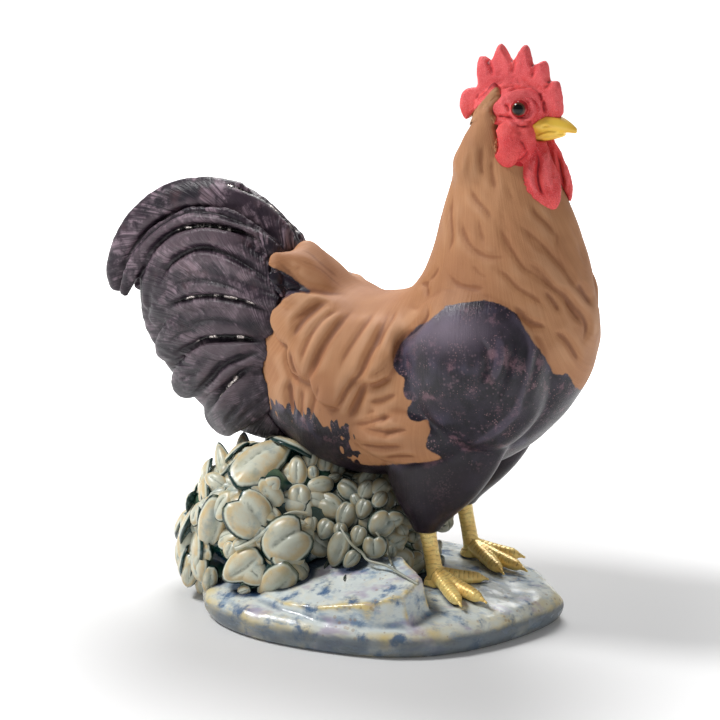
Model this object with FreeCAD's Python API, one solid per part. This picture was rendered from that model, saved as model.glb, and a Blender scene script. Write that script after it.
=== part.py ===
# A standing porcelain rooster on a rocky, leafy base, as the castings it is luted together from.
# Millimetres. +X is the way the bird faces, +Y its left and +Z up. The origin lies on the flat
# underside, in the bird's plane of symmetry. The right side is modelled and then mirrored.
import FreeCAD, Part
import math
import os

Vec = FreeCAD.Vector

# Base slab
slab_length = 184.0
slab_width = 144.0
slab_rim_height = 13.0
slab_crown_height = 19.0
slab_wall = 5.0
slab_shift_x = -9.0
slab_shift_y = -18.0
vent_diameter = 6.0
vent_back = 48.0
tail_vent_height = 128.0

# Boulder on the near side
boulder_length = 96.0
boulder_width = 56.0
boulder_height = 37.0
boulder_shift_x = -8.0
boulder_shift_y = -65.0

# Leafy mound under the tail, and the prop under the belly
mound_length = 98.0
mound_width = 88.0
mound_wall = 5.0
mound_shift_x = -60.0
mound_shift_y = -14.0
prop_length = 60.0
prop_width = 66.0
prop_shift_x = -12.0
prop_shift_y = -11.0
belly_bury = 5.0
leaf_reach = 29.0
leaf_thickness = 13.0
small_leaf_reach = 25.0
small_leaf_thickness = 8.0
leaf_bury = 3.0
stem_diameter = 3.2

# Body, a hollow casting whose sections fan out round the hollow of the back
fan_back = 40.0
fan_height = 235.0
hollow_radius = 85.0
body_depth = 95.0
body_width = 92.0
body_wall = 4.0

# Head
face_length = 37.0
face_width = 30.0
face_height = 35.0
eye_diameter = 8.4
earlobe_length = 23.0
earlobe_width = 14.0
earlobe_thickness = 9.0
comb_length = 53.0
comb_height = 40.0
comb_thickness = 7.4
beak_length = 26.0
beak_width = 21.0
beak_height = 12.0
wattle_length = 35.0
wattle_width = 19.0
wattle_thickness = 8.0

# Wings and saddle feathers
bow_length = 75.0
bow_height = 85.0
bow_bulge = 26.0
flight_length = 68.0
flight_height = 37.0
flight_bulge = 18.0
saddle_width = 27.0
saddle_thickness = 8.0

# Legs
leg_spacing = 48.0
leg_forward = 20.0
foot_forward = 26.0
thigh_breadth = 64.0
thigh_width = 32.0
thigh_bottom = 47.0
shank_diameter = 9.0
toe_length = 35.0
toe_diameter = 7.6
foot_height = 8.0
foot_hub_length = 13.5
foot_hub_width = 12.5
foot_hub_height = 12.0

# Tail
tail_length = 138.0
tail_height = 138.0
tail_lead = 40.0
tail_core_thickness = 50.0
tail_wall = 4.5
spine_thickness = 15.0
sickle_width = 20.0
sickle_thickness = 9.0
sickle_bury = 2.0

# How far a seat runs on into its host before it is cut back to meet it
overrun = 3.0

# Points round one smooth ring
RING_POINTS = 12


def ring_turns(count=RING_POINTS):
    """Evenly spaced turns round a ring."""
    return [2 * math.pi * step / count for step in range(count)]


def oval(centre, across, along, squareness=2.0):
    """Points round an oval with two half-axis vectors; more squareness fills its corners."""
    def bend(value):
        return math.copysign(abs(value) ** (2 / squareness), value)
    return [
        centre + across * bend(math.cos(turn)) + along * bend(math.sin(turn))
        for turn in ring_turns()
    ]


def even_steps(count):
    return [step / count for step in range(count + 1)]


def skin_over(rings):
    """A closed solid with one smooth skin over a row of rings and a flat cap on each end."""
    round_curve, poles = None, []
    for ring in rings:
        round_curve = Part.BSplineCurve()
        round_curve.interpolate(Points=ring, PeriodicFlag=True, Parameters=even_steps(len(ring)))
        poles.append(round_curve.getPoles())
    long_curve, net = None, []
    for column in zip(*poles):
        long_curve = Part.BSplineCurve()
        long_curve.interpolate(Points=list(column), Parameters=even_steps(len(rings) - 1))
        net.append(long_curve.getPoles())
    surface = Part.BSplineSurface()
    surface.buildFromPolesMultsKnots(
        net, round_curve.getMultiplicities(), long_curve.getMultiplicities(),
        round_curve.getKnots(), long_curve.getKnots(), True, False,
        round_curve.Degree, long_curve.Degree)
    ends = [Part.Face(Part.Wire(surface.vIso(end).toShape())) for end in surface.bounds()[2:]]
    shell = Part.makeShell([surface.toShape()] + ends)
    shell.sewShape()
    return Part.makeSolid(shell)


def pebble(centre, first, second, third):
    """A solid ellipsoid with three half-axis vectors."""
    matrix = FreeCAD.Matrix(
        first.x, second.x, third.x, centre.x,
        first.y, second.y, third.y, centre.y,
        first.z, second.z, third.z, centre.z,
        0, 0, 0, 1)
    return Part.makeSphere(1).transformGeometry(matrix)


def upright_pebble(centre, length, width, height):
    """An ellipsoid in line with the axes."""
    return pebble(centre, Vec(length / 2, 0, 0), Vec(0, width / 2, 0), Vec(0, 0, height / 2))


def blade(points, half_widths, half_thicknesses, outwards):
    """A tapered blade along a row of points, its flat side facing outward."""
    rings = []
    for index, point in enumerate(points):
        ahead = points[min(index + 1, len(points) - 1)] - points[max(index - 1, 0)]
        side = ahead.cross(outwards[index]).normalize()
        face = side.cross(ahead).normalize()
        rings.append(oval(point, side * half_widths[index], face * half_thicknesses[index]))
    return skin_over(rings)


def main_solid(shape):
    """The largest solid of a cut shape, without the slivers."""
    return max(shape.Solids, key=lambda solid: solid.Volume)


def seated(piece, *hosts):
    """The piece cut back to where it meets each host."""
    for host in hosts:
        if piece.BoundBox.intersect(host.BoundBox):
            piece = main_solid(piece.cut(host))
    return piece


def joined(pieces):
    """One solid from pieces that overlap."""
    return main_solid(pieces[0].multiFuse(pieces[1:]))


def mirrored(shape):
    """The same piece on the bird's left side."""
    return shape.mirror(Vec(0, 0, 0), Vec(0, 1, 0))


def evened(shape):
    """The shape made again from its right half, so that its two sides match exactly."""
    box = shape.BoundBox
    side = Part.makeBox(
        box.XLength + 2 * overrun, box.YMax + overrun, box.ZLength + 2 * overrun,
        Vec(box.XMin - overrun, 0, box.ZMin - overrun))
    half = shape.cut(side)
    return half.fuse(mirrored(half))


# Base slab

# Plan outline as shares of half the slab's length and width, clockwise from the front
SLAB_OUTLINE_SHARES = [
    (1.00, 0.34), (0.97, -0.02), (0.74, -0.56), (0.38, -0.90), (-0.04, -1.00), (-0.44, -0.97),
    (-0.78, -0.74), (-0.96, -0.30), (-1.00, 0.16), (-0.90, 0.60), (-0.62, 0.92), (-0.12, 1.00),
    (0.42, 0.94), (0.78, 0.68),
]
# Height shares up to the rim, then over the crown, with the outline's size there
SLAB_RIM_SHARES = [(0.0, 0.965), (0.25, 0.99), (0.65, 1.0), (1.0, 0.965)]
SLAB_CROWN_SHARES = [(0.45, 0.88), (0.85, 0.66), (1.0, 0.40)]
SLAB_HOLLOW_SHARES = [(0.0, 0.88), (0.5, 0.90), (1.0, 0.80)]


def slab_ring(size, height, inset=0.0):
    return [
        Vec(slab_shift_x + x * (size * slab_length / 2 - inset),
            slab_shift_y + y * (size * slab_width / 2 - inset), height)
        for x, y in SLAB_OUTLINE_SHARES
    ]


def slab_form():
    dome = slab_crown_height - slab_rim_height
    rings = [slab_ring(size, up * slab_rim_height) for up, size in SLAB_RIM_SHARES]
    rings += [slab_ring(size, slab_rim_height + up * dome) for up, size in SLAB_CROWN_SHARES]
    return skin_over(rings)


def slab_hollow():
    room = (slab_rim_height + slab_crown_height) / 2 - 2 * slab_wall
    return skin_over([
        slab_ring(size, slab_wall + up * room, slab_wall) for up, size in SLAB_HOLLOW_SHARES])


def make_vents():
    """The straight vent up from the underside into the body, and the one on into the tail."""
    upright = Part.makeCylinder(vent_diameter / 2, fan_height / 2, Vec(-vent_back, mound_shift_y, 0))
    level = Part.makeCylinder(
        vent_diameter / 2, tail_lead, Vec(tail_root().x + tail_lead, 0, tail_vent_height),
        Vec(-1, 0, 0))
    return upright.fuse(level)


# Boulder

# Foot and top outlines as shares of half its length and width, and how the top facet tilts
BOULDER_FOOT_SHARES = [
    (-1.00, -0.35), (-0.55, -0.70), (-0.10, -0.80), (0.45, -0.68), (0.92, -0.38), (1.00, 0.30),
    (0.60, 1.00), (-0.60, 1.00), (-0.95, 0.50),
]
BOULDER_TOP_SHARES = [
    (-0.86, -0.25), (-0.52, -0.52), (-0.08, -0.62), (0.42, -0.54), (0.78, -0.26), (0.84, 0.30),
    (0.45, 0.92), (-0.45, 0.92), (-0.82, 0.45),
]
BOULDER_TILT_SHARES = (0.72, 0.20, 0.22)


def boulder_ring(shares, height_of):
    return Part.makePolygon([
        Vec(boulder_shift_x + x * boulder_length / 2, boulder_shift_y + y * boulder_width / 2,
            height_of(x, y))
        for x, y in shares + shares[:1]
    ])


def make_boulder():
    middle, rise_x, rise_y = BOULDER_TILT_SHARES
    foot = boulder_ring(BOULDER_FOOT_SHARES, lambda x, y: slab_rim_height / 4)
    top = boulder_ring(
        BOULDER_TOP_SHARES, lambda x, y: boulder_height * (middle + rise_x * x + rise_y * y))
    return Part.makeLoft([foot, top], True, True)


# Body

# Fan angle in degrees, then shares of the hollow's radius, the body's depth and half its width
BODY_FAN_SHARES = [
    (21, 1.000, 0.13, 0.13), (14, 0.935, 0.28, 0.28), (4, 0.835, 0.37, 0.37), (-8, 0.770, 0.58, 0.49),
    (-20, 0.755, 0.80, 0.64), (-34, 0.810, 1.03, 0.82), (-48, 0.900, 1.06, 0.945),
    (-60, 0.950, 1.03, 1.00), (-72, 0.915, 1.01, 1.00), (-84, 0.880, 1.00, 0.955),
    (-97, 0.800, 0.97, 0.78), (-110, 0.740, 0.79, 0.48),
]


def fan_direction(degrees):
    turn = math.radians(degrees)
    return Vec(math.cos(turn), 0, math.sin(turn))


def fan_section(degrees):
    """Centre, half depth and half width of the body's section at a fan angle."""
    rows = BODY_FAN_SHARES
    inside = min(max(degrees, rows[-1][0]), rows[0][0])
    for (high, *above), (low, *below) in zip(rows, rows[1:]):
        if low <= inside <= high:
            mix = (high - inside) / (high - low)
            inner, depth, width = (a + (b - a) * mix for a, b in zip(above, below))
    half_depth = depth * body_depth / 2
    centre = Vec(-fan_back, 0, fan_height) + fan_direction(degrees) * (
        inner * hollow_radius + half_depth)
    return centre, half_depth, width * body_width / 2


def flank(degrees, share, lift=0.0):
    """A point over the right flank: share 0 is the back line and share 1 the breast or belly."""
    centre, half_depth, half_width = fan_section(degrees)
    off = 2 * share - 1
    side = math.sqrt(1 - off * off)
    return (centre + fan_direction(degrees) * (off * (half_depth + lift))
            - Vec(0, side * (half_width + lift), 0))


def flank_normal(degrees, share):
    return (flank(degrees, share, body_wall) - flank(degrees, share)).normalize()


def body_ring(degrees, inset=0.0):
    centre, half_depth, half_width = fan_section(degrees)
    return oval(
        centre, fan_direction(degrees) * (half_depth - inset), Vec(0, half_width - inset, 0))


def body_form(inset=0.0, skip=0):
    angles = [row[0] for row in BODY_FAN_SHARES]
    return skin_over([body_ring(angle, inset) for angle in angles[2 * skip:len(angles) - skip]])


def belly_height(x):
    """Height of the underside of the belly above a place on the base."""
    first, last = BODY_FAN_SHARES[-1][0], BODY_FAN_SHARES[5][0]
    underside = [flank(degrees, 1) for degrees in range(first, last)]
    return min(underside, key=lambda spot: abs(spot.x - x)).z


# Leafy mound and prop

# Azimuth and elevation in degrees of each spray on the mound, its lobes and its size share
SPRAYS = {
    "upper_leaf_spray": (-118, 44, 5, 1.00),
    "middle_leaf_spray": (-82, 20, 5, 0.94),
    "lower_leaf_spray": (-134, 15, 5, 0.84),
    "rear_leaf_spray": (-176, 24, 5, 0.90),
    "far_leaf_spray": (118, 26, 5, 1.10),
}
# The same for the patches of small leaves on each side of the prop
SMALL_SPRAYS = {
    "right_small_leaves": (-96, 42, 7, 1.06),
    "left_small_leaves": (76, 32, 7, 1.00),
}
POINTS_PER_LEAF = 4
LEAF_NOTCH_SHARE = 0.13
# Height in the spray and size there, from the buried back out to the dimple in the middle
SPRAY_SHARES = [(-0.70, 0.90), (-0.10, 1.00), (0.50, 0.94), (0.95, 0.66), (1.00, 0.36), (0.80, 0.10)]
STEM_PATH_SHARES = [
    (-0.13, -0.93, 0.57), (0.22, -1.04, 0.47), (0.45, -1.14, 0.41), (0.77, -1.21, 0.40),
    (1.24, -1.40, 0.41),
]


class Hill:
    """A domed mass that stands on the slab and reaches up into the belly."""

    def __init__(self, length, width, x, y):
        foot = slab_crown_height / 2
        self.half = Vec(length / 2, width / 2, belly_height(x) + belly_bury - foot)
        self.centre = Vec(x, y, foot)

    def place(self, azimuth, elevation, lift=0.0):
        around, up = math.radians(azimuth), math.radians(elevation)
        level = math.cos(up)
        return self.centre + Vec(
            (self.half.x + lift) * level * math.cos(around),
            (self.half.y + lift) * level * math.sin(around),
            (self.half.z + lift) * math.sin(up))

    def form(self, inset=0.0):
        x, y, z = (side - inset for side in self.half)
        matrix = FreeCAD.Matrix(
            x, 0, 0, self.centre.x,
            0, y, 0, self.centre.y,
            0, 0, z, self.centre.z,
            0, 0, 0, 1)
        dome = Part.makeSphere(1, Vec(0, 0, 0), Vec(0, 0, 1), 0, 90, 360)
        return dome.transformGeometry(matrix)


def make_spray(hill, row, reach, thickness):
    """Leaves round one hub as a single lobed pillow that lies on the hill."""
    azimuth, elevation, lobes, size_share = row
    hub = hill.place(azimuth, elevation)
    outward = (hill.place(azimuth, elevation, leaf_bury) - hub).normalize()
    level = Vec(0, 0, 1).cross(outward).normalize()
    upward = outward.cross(level)
    count = lobes * POINTS_PER_LEAF
    rings = []
    for height, size in SPRAY_SHARES:
        middle = hub + outward * (height * thickness - leaf_bury)
        ring = []
        for turn in ring_turns(count):
            swell = 1 - LEAF_NOTCH_SHARE * size * (1 + math.cos(lobes * turn))
            along = level * math.cos(turn) + upward * math.sin(turn)
            ring.append(middle + along * (size_share * reach * size * swell))
        rings.append(ring)
    return skin_over(rings)


def make_stem(hill):
    points = [
        hill.centre + Vec(x * hill.half.x, y * hill.half.y, z * hill.half.z)
        for x, y, z in STEM_PATH_SHARES
    ]
    radii = [stem_diameter / 2] * len(points)
    return blade(points, radii, radii, [Vec(0, 0, 1)] * len(points))


# Head

FACE_CENTRE_SHARES = (0.16, 0.36)
# Along the face, then its half width, its half height and its rise
FACE_SHARES = [
    (-1.00, 0.50, 0.56, 0.00), (-0.62, 0.86, 0.86, 0.00), (-0.10, 1.00, 1.00, 0.00),
    (0.34, 0.94, 0.84, 0.10), (0.68, 0.66, 0.58, 0.20), (0.94, 0.26, 0.28, 0.20),
]
EYE_PLACE_SHARES = (0.38, 0.84, 0.36)
EARLOBE_PLACE_SHARES = (0.14, 1.10, -0.62)
WATTLE_PLACE_SHARES = (0.84, 0.42, -0.54)
BEAK_PLACE_SHARES = (0.30, -0.26)
COMB_PLACE_SHARES = (-0.11, 0.86)
# Outline as shares of half the comb's length and height: rear lobe, five points, then the root
COMB_OUTLINE_SHARES = [
    (-0.66, -1.00), (-0.93, -0.80), (-1.00, -0.45), (-0.88, -0.14), (-0.66, -0.06), (-0.67, 0.30),
    (-0.61, 0.66), (-0.49, 0.62), (-0.41, 0.56), (-0.32, 0.78), (-0.22, 1.00), (-0.10, 0.80),
    (0.01, 0.62), (0.13, 0.78), (0.26, 1.00), (0.36, 0.80), (0.41, 0.55), (0.54, 0.60),
    (0.66, 0.64), (0.72, 0.40), (0.76, 0.17), (0.88, 0.18), (0.96, -0.02), (1.00, -0.36),
    (0.94, -0.70), (0.46, -0.80), (-0.12, -0.72), (-0.44, -0.82),
]
# Across the comb, with the outline's size there
COMB_TAPER_SHARES = [(-1.00, 0.84), (-0.70, 0.95), (0.00, 1.00), (0.70, 0.95), (1.00, 0.84)]
# Along the beak and up, then its half width and half height
BEAK_SHARES = [
    (0.00, 0.06, 0.72, 0.36), (0.20, 0.16, 0.88, 0.40), (0.48, 0.24, 0.70, 0.38),
    (0.76, 0.18, 0.42, 0.27), (1.00, 0.00, 0.12, 0.10),
]
LOWER_BEAK_SHARES = [
    (0.10, -0.26, 0.72, 0.24), (0.36, -0.24, 0.66, 0.24), (0.62, -0.18, 0.40, 0.18),
    (0.78, -0.12, 0.16, 0.10),
]
# Down the wattle, forward and outward, then its half width and half thickness
WATTLE_SHARES = [
    (0.00, -0.08, 0.00, 0.46, 0.60), (0.30, 0.02, 0.16, 0.80, 0.90), (0.62, 0.16, 0.28, 1.00, 1.00),
    (0.86, 0.24, 0.30, 0.74, 0.80), (1.00, 0.26, 0.30, 0.22, 0.30),
]
WATTLE_TURN = 30


def face_centre():
    neck_top = fan_section(BODY_FAN_SHARES[2][0])[0]
    ahead, up = FACE_CENTRE_SHARES
    return neck_top + Vec(ahead * face_length, 0, up * face_height)


def face_place(forward, out, up):
    """A point on the right of the face, in shares of half its length, width and height."""
    return face_centre() + Vec(
        forward * face_length / 2, -out * face_width / 2, up * face_height / 2)


def make_face():
    return skin_over([
        oval(face_place(along, 0, rise), Vec(0, wide * face_width / 2, 0),
             Vec(0, 0, tall * face_height / 2))
        for along, wide, tall, rise in FACE_SHARES
    ])


def make_eye():
    return Part.makeSphere(eye_diameter / 2, face_place(*EYE_PLACE_SHARES))


def make_earlobe():
    return upright_pebble(
        face_place(*EARLOBE_PLACE_SHARES), earlobe_width, earlobe_thickness, earlobe_length)


def make_comb():
    forward, up = COMB_PLACE_SHARES
    centre = face_place(forward, 0, up)
    return skin_over([
        [centre + Vec(size * along * comb_length / 2, across * comb_thickness / 2,
                      size * rise * comb_height / 2) for along, rise in COMB_OUTLINE_SHARES]
        for across, size in COMB_TAPER_SHARES
    ])


def make_beak(shares):
    forward, up = BEAK_PLACE_SHARES
    root = face_place(forward, 0, up)
    return skin_over([
        oval(root + Vec(along * beak_length, 0, rise * beak_height),
             Vec(0, wide * beak_width / 2, 0), Vec(0, 0, tall * beak_height))
        for along, rise, wide, tall in shares
    ])


def make_wattle():
    top = face_place(*WATTLE_PLACE_SHARES)
    turn = math.radians(WATTLE_TURN)
    flat = Vec(math.cos(turn), math.sin(turn), 0)
    outward = Vec(math.sin(turn), -math.cos(turn), 0)
    return skin_over([
        oval(top + Vec(ahead * wattle_width, -out * wattle_width, -down * wattle_length),
             flat * wide * wattle_width / 2, outward * thick * wattle_thickness / 2)
        for down, ahead, out, wide, thick in WATTLE_SHARES
    ])


# Wings and saddle feathers

# Fan angle in degrees and share of depth
BOW_PLACE = (-49, 0.55)
FLIGHT_PLACE = (-68, 0.67)
WING_BURY_SHARE = 0.62
# Paths of the saddle feathers over the flank, from the back line to their tips
SADDLE_PATHS = {
    "rump_crest": [(-80, 0.07, 0.1), (-91, 0.08, 0.4), (-103, 0.09, 0.8), (-116, 0.08, 1.3)],
    "saddle_feather_1": [(-80, 0.10, 0.1), (-90, 0.14, 0.2), (-97, 0.22, 0.4), (-102, 0.34, 0.6)],
    "saddle_feather_2": [(-75, 0.10, 0.1), (-83, 0.17, 0.2), (-88, 0.29, 0.2), (-90, 0.43, 0.3)],
    "saddle_feather_3": [(-68, 0.10, 0.1), (-75, 0.21, 0.2), (-80, 0.36, 0.2), (-82, 0.51, 0.3)],
    "saddle_feather_4": [(-60, 0.12, 0.1), (-66, 0.20, 0.2), (-70, 0.29, 0.2), (-71, 0.38, 0.3)],
}
# Half widths and half thicknesses along a feather, from root to tip
SADDLE_WIDTH_SHARES = (0.50, 0.88, 1.00, 0.45)
SADDLE_THICKNESS_SHARES = (0.60, 0.90, 1.00, 0.50)


def make_wing_pad(place, length, bulge, height):
    centre = flank(*place) + Vec(0, bulge * WING_BURY_SHARE, 0)
    return upright_pebble(centre, length, 2 * bulge, height)


def make_saddle_feather(path):
    return blade(
        [flank(degrees, share, lift * saddle_thickness) for degrees, share, lift in path],
        [share * saddle_width / 2 for share in SADDLE_WIDTH_SHARES],
        [share * saddle_thickness / 2 for share in SADDLE_THICKNESS_SHARES],
        [flank_normal(degrees, share) for degrees, share, lift in path])


# Legs

HIP_PLACE = (-60, 0.66)
# Share of the way from ankle to hip, then the thigh's half breadth and half width there
THIGH_SHARES = [
    (0.00, 0.22, 0.44), (0.14, 0.40, 0.66), (0.36, 0.72, 0.90), (0.68, 0.98, 1.00), (1.00, 1.06, 0.94),
]
# Share of the way down the shank, with its half width there
SHANK_SHARES = [(0.00, 1.02), (0.35, 0.92), (0.75, 0.94), (1.00, 1.12)]
# Heading in degrees of each toe, and its length share
RIGHT_TOES = [(-46, 0.98), (-24, 1.04), (36, 0.78)]
LEFT_TOES = [(-40, 0.98), (-20, 1.08), (12, 0.80)]
# Along a toe, then its height and half width
TOE_SHARES = [
    (0.00, 0.62, 0.60), (0.25, 0.52, 0.50), (0.50, 0.34, 0.48), (0.76, 0.22, 0.42), (0.86, 0.20, 0.24),
    (1.00, 0.04, 0.08),
]


def ankle():
    return Vec(leg_forward, -leg_spacing / 2, thigh_bottom)


def foot_hub():
    return Vec(foot_forward, -leg_spacing / 2, slab_crown_height)


def make_thigh():
    hip = flank(*HIP_PLACE)
    hip.y = -leg_spacing / 2
    rings = []
    for share, long, wide in THIGH_SHARES:
        rings.append(oval(ankle() + (hip - ankle()) * share, Vec(long * thigh_breadth / 2, 0, 0),
                          Vec(0, wide * thigh_width / 2, 0)))
    return skin_over(rings)


def make_shank():
    top = ankle() + Vec(0, 0, overrun)
    bottom = foot_hub() + Vec(0, 0, foot_height / 4)
    return skin_over([
        oval(top + (bottom - top) * share, Vec(wide * shank_diameter / 2, 0, 0),
             Vec(0, wide * shank_diameter / 2, 0))
        for share, wide in SHANK_SHARES
    ])


def make_foot(toes):
    hub = foot_hub()
    pieces = [upright_pebble(hub, foot_hub_length, foot_hub_width, foot_hub_height)]
    for heading, long in toes:
        turn = math.radians(heading)
        ahead = Vec(math.cos(turn), math.sin(turn), 0)
        side = Vec(-ahead.y, ahead.x, 0)
        pieces.append(skin_over([
            oval(hub + ahead * (along * long * toe_length) + Vec(0, 0, up * foot_height),
                 side * wide * toe_diameter, Vec(0, 0, wide * toe_diameter))
            for along, up, wide in TOE_SHARES
        ]))
    return joined(pieces)


# Tail

# Along the tail from its lead into the body, then the core's bottom, top and thickness
TAIL_CORE_SHARES = [
    (0.10, 0.10, 0.78, 1.00), (0.30, 0.03, 0.88, 0.92), (0.50, 0.07, 0.91, 0.76),
    (0.67, 0.18, 0.87, 0.56), (0.80, 0.32, 0.78, 0.38), (0.87, 0.46, 0.68, 0.18),
]
TAIL_CORE_SQUARENESS = 2.8
# Centre line of the top sickle, along the tail and up it
SPINE_SHARES = [
    (-0.02, 0.69), (0.18, 0.82), (0.36, 0.91), (0.56, 0.945), (0.75, 0.90), (0.90, 0.78), (0.98, 0.64),
    (0.985, 0.54),
]
# Width share and centre line of each feather on the right, from the top down
SICKLES = {
    "sickle_feather_1": (0.66, [
        (0.22, 0.82), (0.36, 0.865), (0.54, 0.875), (0.71, 0.82), (0.84, 0.70), (0.93, 0.54)]),
    "sickle_feather_2": (0.74, [
        (0.22, 0.76), (0.37, 0.795), (0.52, 0.80), (0.66, 0.745), (0.77, 0.64), (0.82, 0.50)]),
    "sickle_feather_3": (0.92, [
        (0.20, 0.70), (0.33, 0.722), (0.46, 0.72), (0.60, 0.68), (0.71, 0.60), (0.77, 0.50)]),
    "sickle_feather_4": (1.00, [
        (0.19, 0.615), (0.32, 0.63), (0.46, 0.62), (0.60, 0.585), (0.71, 0.53), (0.79, 0.45)]),
    "tail_covert_1": (1.08, [
        (0.20, 0.515), (0.32, 0.525), (0.46, 0.50), (0.59, 0.455), (0.70, 0.385), (0.77, 0.315)]),
    "tail_covert_2": (1.12, [
        (0.19, 0.42), (0.31, 0.40), (0.44, 0.355), (0.56, 0.29), (0.65, 0.23), (0.70, 0.18)]),
    "tail_covert_3": (1.30, [
        (0.17, 0.32), (0.26, 0.28), (0.36, 0.215), (0.45, 0.15), (0.52, 0.10), (0.56, 0.07)]),
}
SICKLE_WIDTH_SHARES = (0.62, 0.92, 1.00, 0.96, 0.82, 0.36)
SICKLE_THICKNESS_SHARES = (0.80, 1.00, 1.00, 0.92, 0.80, 0.46)
SPINE_WIDTH_SHARES = (0.50, 0.72, 0.90, 1.00, 1.00, 0.92, 0.72, 0.32)
SPINE_THICKNESS_SHARES = (0.80, 1.00, 1.00, 1.00, 0.92, 0.80, 0.62, 0.30)


def tail_root():
    return fan_section(BODY_FAN_SHARES[-1][0])[0]


def tail_place(along, up):
    return tail_root() + Vec(tail_lead - along * tail_length, 0, (up - 0.5) * tail_height)


def tail_core_ring(row, inset=0.0):
    along, bottom, top, thick = row
    half_height = (top - bottom) * tail_height / 2
    return oval(
        tail_place(along, (bottom + top) / 2), Vec(0, 0, half_height - inset),
        Vec(0, thick * tail_core_thickness / 2 - inset, 0), TAIL_CORE_SQUARENESS)


def tail_core_form(inset=0.0, skip=0):
    rows = TAIL_CORE_SHARES[:len(TAIL_CORE_SHARES) - skip]
    return skin_over([tail_core_ring(row, inset) for row in rows])


def tail_side(along, up):
    """Half thickness of the core at a place in the tail."""
    rows = TAIL_CORE_SHARES
    if not rows[0][0] <= along <= rows[-1][0]:
        return 0.0
    for before, after in zip(rows, rows[1:]):
        if before[0] <= along <= after[0]:
            mix = (along - before[0]) / (after[0] - before[0])
            bottom, top, thick = (a + (b - a) * mix for a, b in zip(before[1:], after[1:]))
    rise = abs(2 * (up - bottom) / (top - bottom) - 1)
    if rise >= 1:
        return 0.0
    bend = TAIL_CORE_SQUARENESS
    return (1 - rise ** bend) ** (1 / bend) * thick * tail_core_thickness / 2


def make_spine():
    return blade(
        [tail_place(*row) for row in SPINE_SHARES],
        [share * sickle_width / 2 for share in SPINE_WIDTH_SHARES],
        [share * spine_thickness / 2 for share in SPINE_THICKNESS_SHARES],
        [Vec(0, -1, 0)] * len(SPINE_SHARES))


def make_sickle(width_share, path):
    points = []
    for (along, up), thick in zip(path, SICKLE_THICKNESS_SHARES):
        half = thick * sickle_thickness / 2
        inner = max(tail_side(along, up) - sickle_bury, spine_thickness / 2 - sickle_bury)
        points.append(tail_place(along, up) - Vec(0, inner + half, 0))
    return blade(
        points, [share * width_share * sickle_width / 2 for share in SICKLE_WIDTH_SHARES],
        [share * sickle_thickness / 2 for share in SICKLE_THICKNESS_SHARES],
        [Vec(0, -1, 0)] * len(path))


# Seating the pieces on one another

def both(piece):
    """The right-hand piece and its mirror image."""
    return [piece, mirrored(piece)]


def pair(name, piece):
    """Both sides of a piece under their names."""
    return dict(zip(["right_" + name, "left_" + name], both(piece)))


def head_pieces(body):
    face = evened(seated(make_face(), body))
    comb = seated(make_comb(), body, face)
    upper_beak = evened(seated(make_beak(BEAK_SHARES), body, face, comb))
    lower_beak = evened(seated(make_beak(LOWER_BEAK_SHARES), body, face, upper_beak))
    earlobe = seated(make_earlobe(), body, face)
    wattle = seated(make_wattle(), body, face, upper_beak, lower_beak, earlobe)
    return {
        "face": face, "comb": comb, "upper_beak": upper_beak, "lower_beak": lower_beak,
        **pair("eye", seated(make_eye(), face)),
        **pair("earlobe", earlobe),
        **pair("wattle", wattle),
    }


def wing_pieces(body):
    bow = seated(make_wing_pad(BOW_PLACE, bow_length, bow_bulge, bow_height), body)
    flights = make_wing_pad(FLIGHT_PLACE, flight_length, flight_bulge, flight_height)
    return {**pair("wing_bow", bow), **pair("wing_flights", seated(flights, body, bow))}


def leg_pieces(slab, body, wings):
    thigh = seated(make_thigh(), body, wings["right_wing_bow"], wings["right_wing_flights"])
    shank = seated(make_shank(), thigh)
    far_toes = [(-heading, long) for heading, long in LEFT_TOES]
    return {
        **pair("thigh", thigh),
        **pair("shank", shank),
        "right_foot": seated(make_foot(RIGHT_TOES), slab, shank),
        "left_foot": mirrored(seated(make_foot(far_toes), slab, shank)),
    }


def tail_pieces(body, core):
    spine = evened(seated(make_spine(), body, core))
    pieces, above = {"top_sickle_feather": spine}, []
    for name, (width_share, path) in SICKLES.items():
        feather = seated(make_sickle(width_share, path), body, core, spine, *above)
        pieces.update(pair(name, feather))
        above = [feather]
    return pieces


def saddle_pieces(body, core, wings, tail):
    hosts = [body, core, tail["top_sickle_feather"], wings["right_wing_bow"]]
    hosts += [tail["right_" + name] for name in SICKLES]
    pieces, before = {}, []
    for name, path in SADDLE_PATHS.items():
        feather = seated(make_saddle_feather(path), *hosts, *before)
        pieces.update(pair(name, feather))
        before = [feather] + before[:1]
    return pieces


def planting_pieces(slab, boulder, body, core, around):
    """The mound, the prop and the leaves on them, cut back to all that they meet."""
    mound_hill = Hill(mound_length, mound_width, mound_shift_x, mound_shift_y)
    prop_hill = Hill(prop_length, prop_width, prop_shift_x, prop_shift_y)
    limbs = [around[side + part] for side in ("right_", "left_") for part in ("thigh", "shank", "foot")]
    coverts = [around[side + "tail_covert_3"] for side in ("right_", "left_")]
    ground = [slab, boulder, body, core]
    mound = seated(mound_hill.form(), *ground, *limbs, *coverts)
    prop = seated(prop_hill.form(), *ground, *limbs, mound)
    pieces, leaves = {}, []
    for hill, table, reach, thickness in (
            (mound_hill, SPRAYS, leaf_reach, leaf_thickness),
            (prop_hill, SMALL_SPRAYS, small_leaf_reach, small_leaf_thickness)):
        for name, row in table.items():
            spray = make_spray(hill, row, reach, thickness)
            pieces[name] = seated(spray, mound, prop, *ground, *limbs, *coverts, *leaves)
            leaves.append(pieces[name])
    pieces["trailing_stem"] = seated(make_stem(prop_hill), prop, *ground, *limbs, *leaves)
    pieces["leaf_mound"] = main_solid(mound.cut([mound_hill.form(mound_wall), make_vents()]))
    pieces["belly_prop"] = prop
    return pieces


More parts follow.
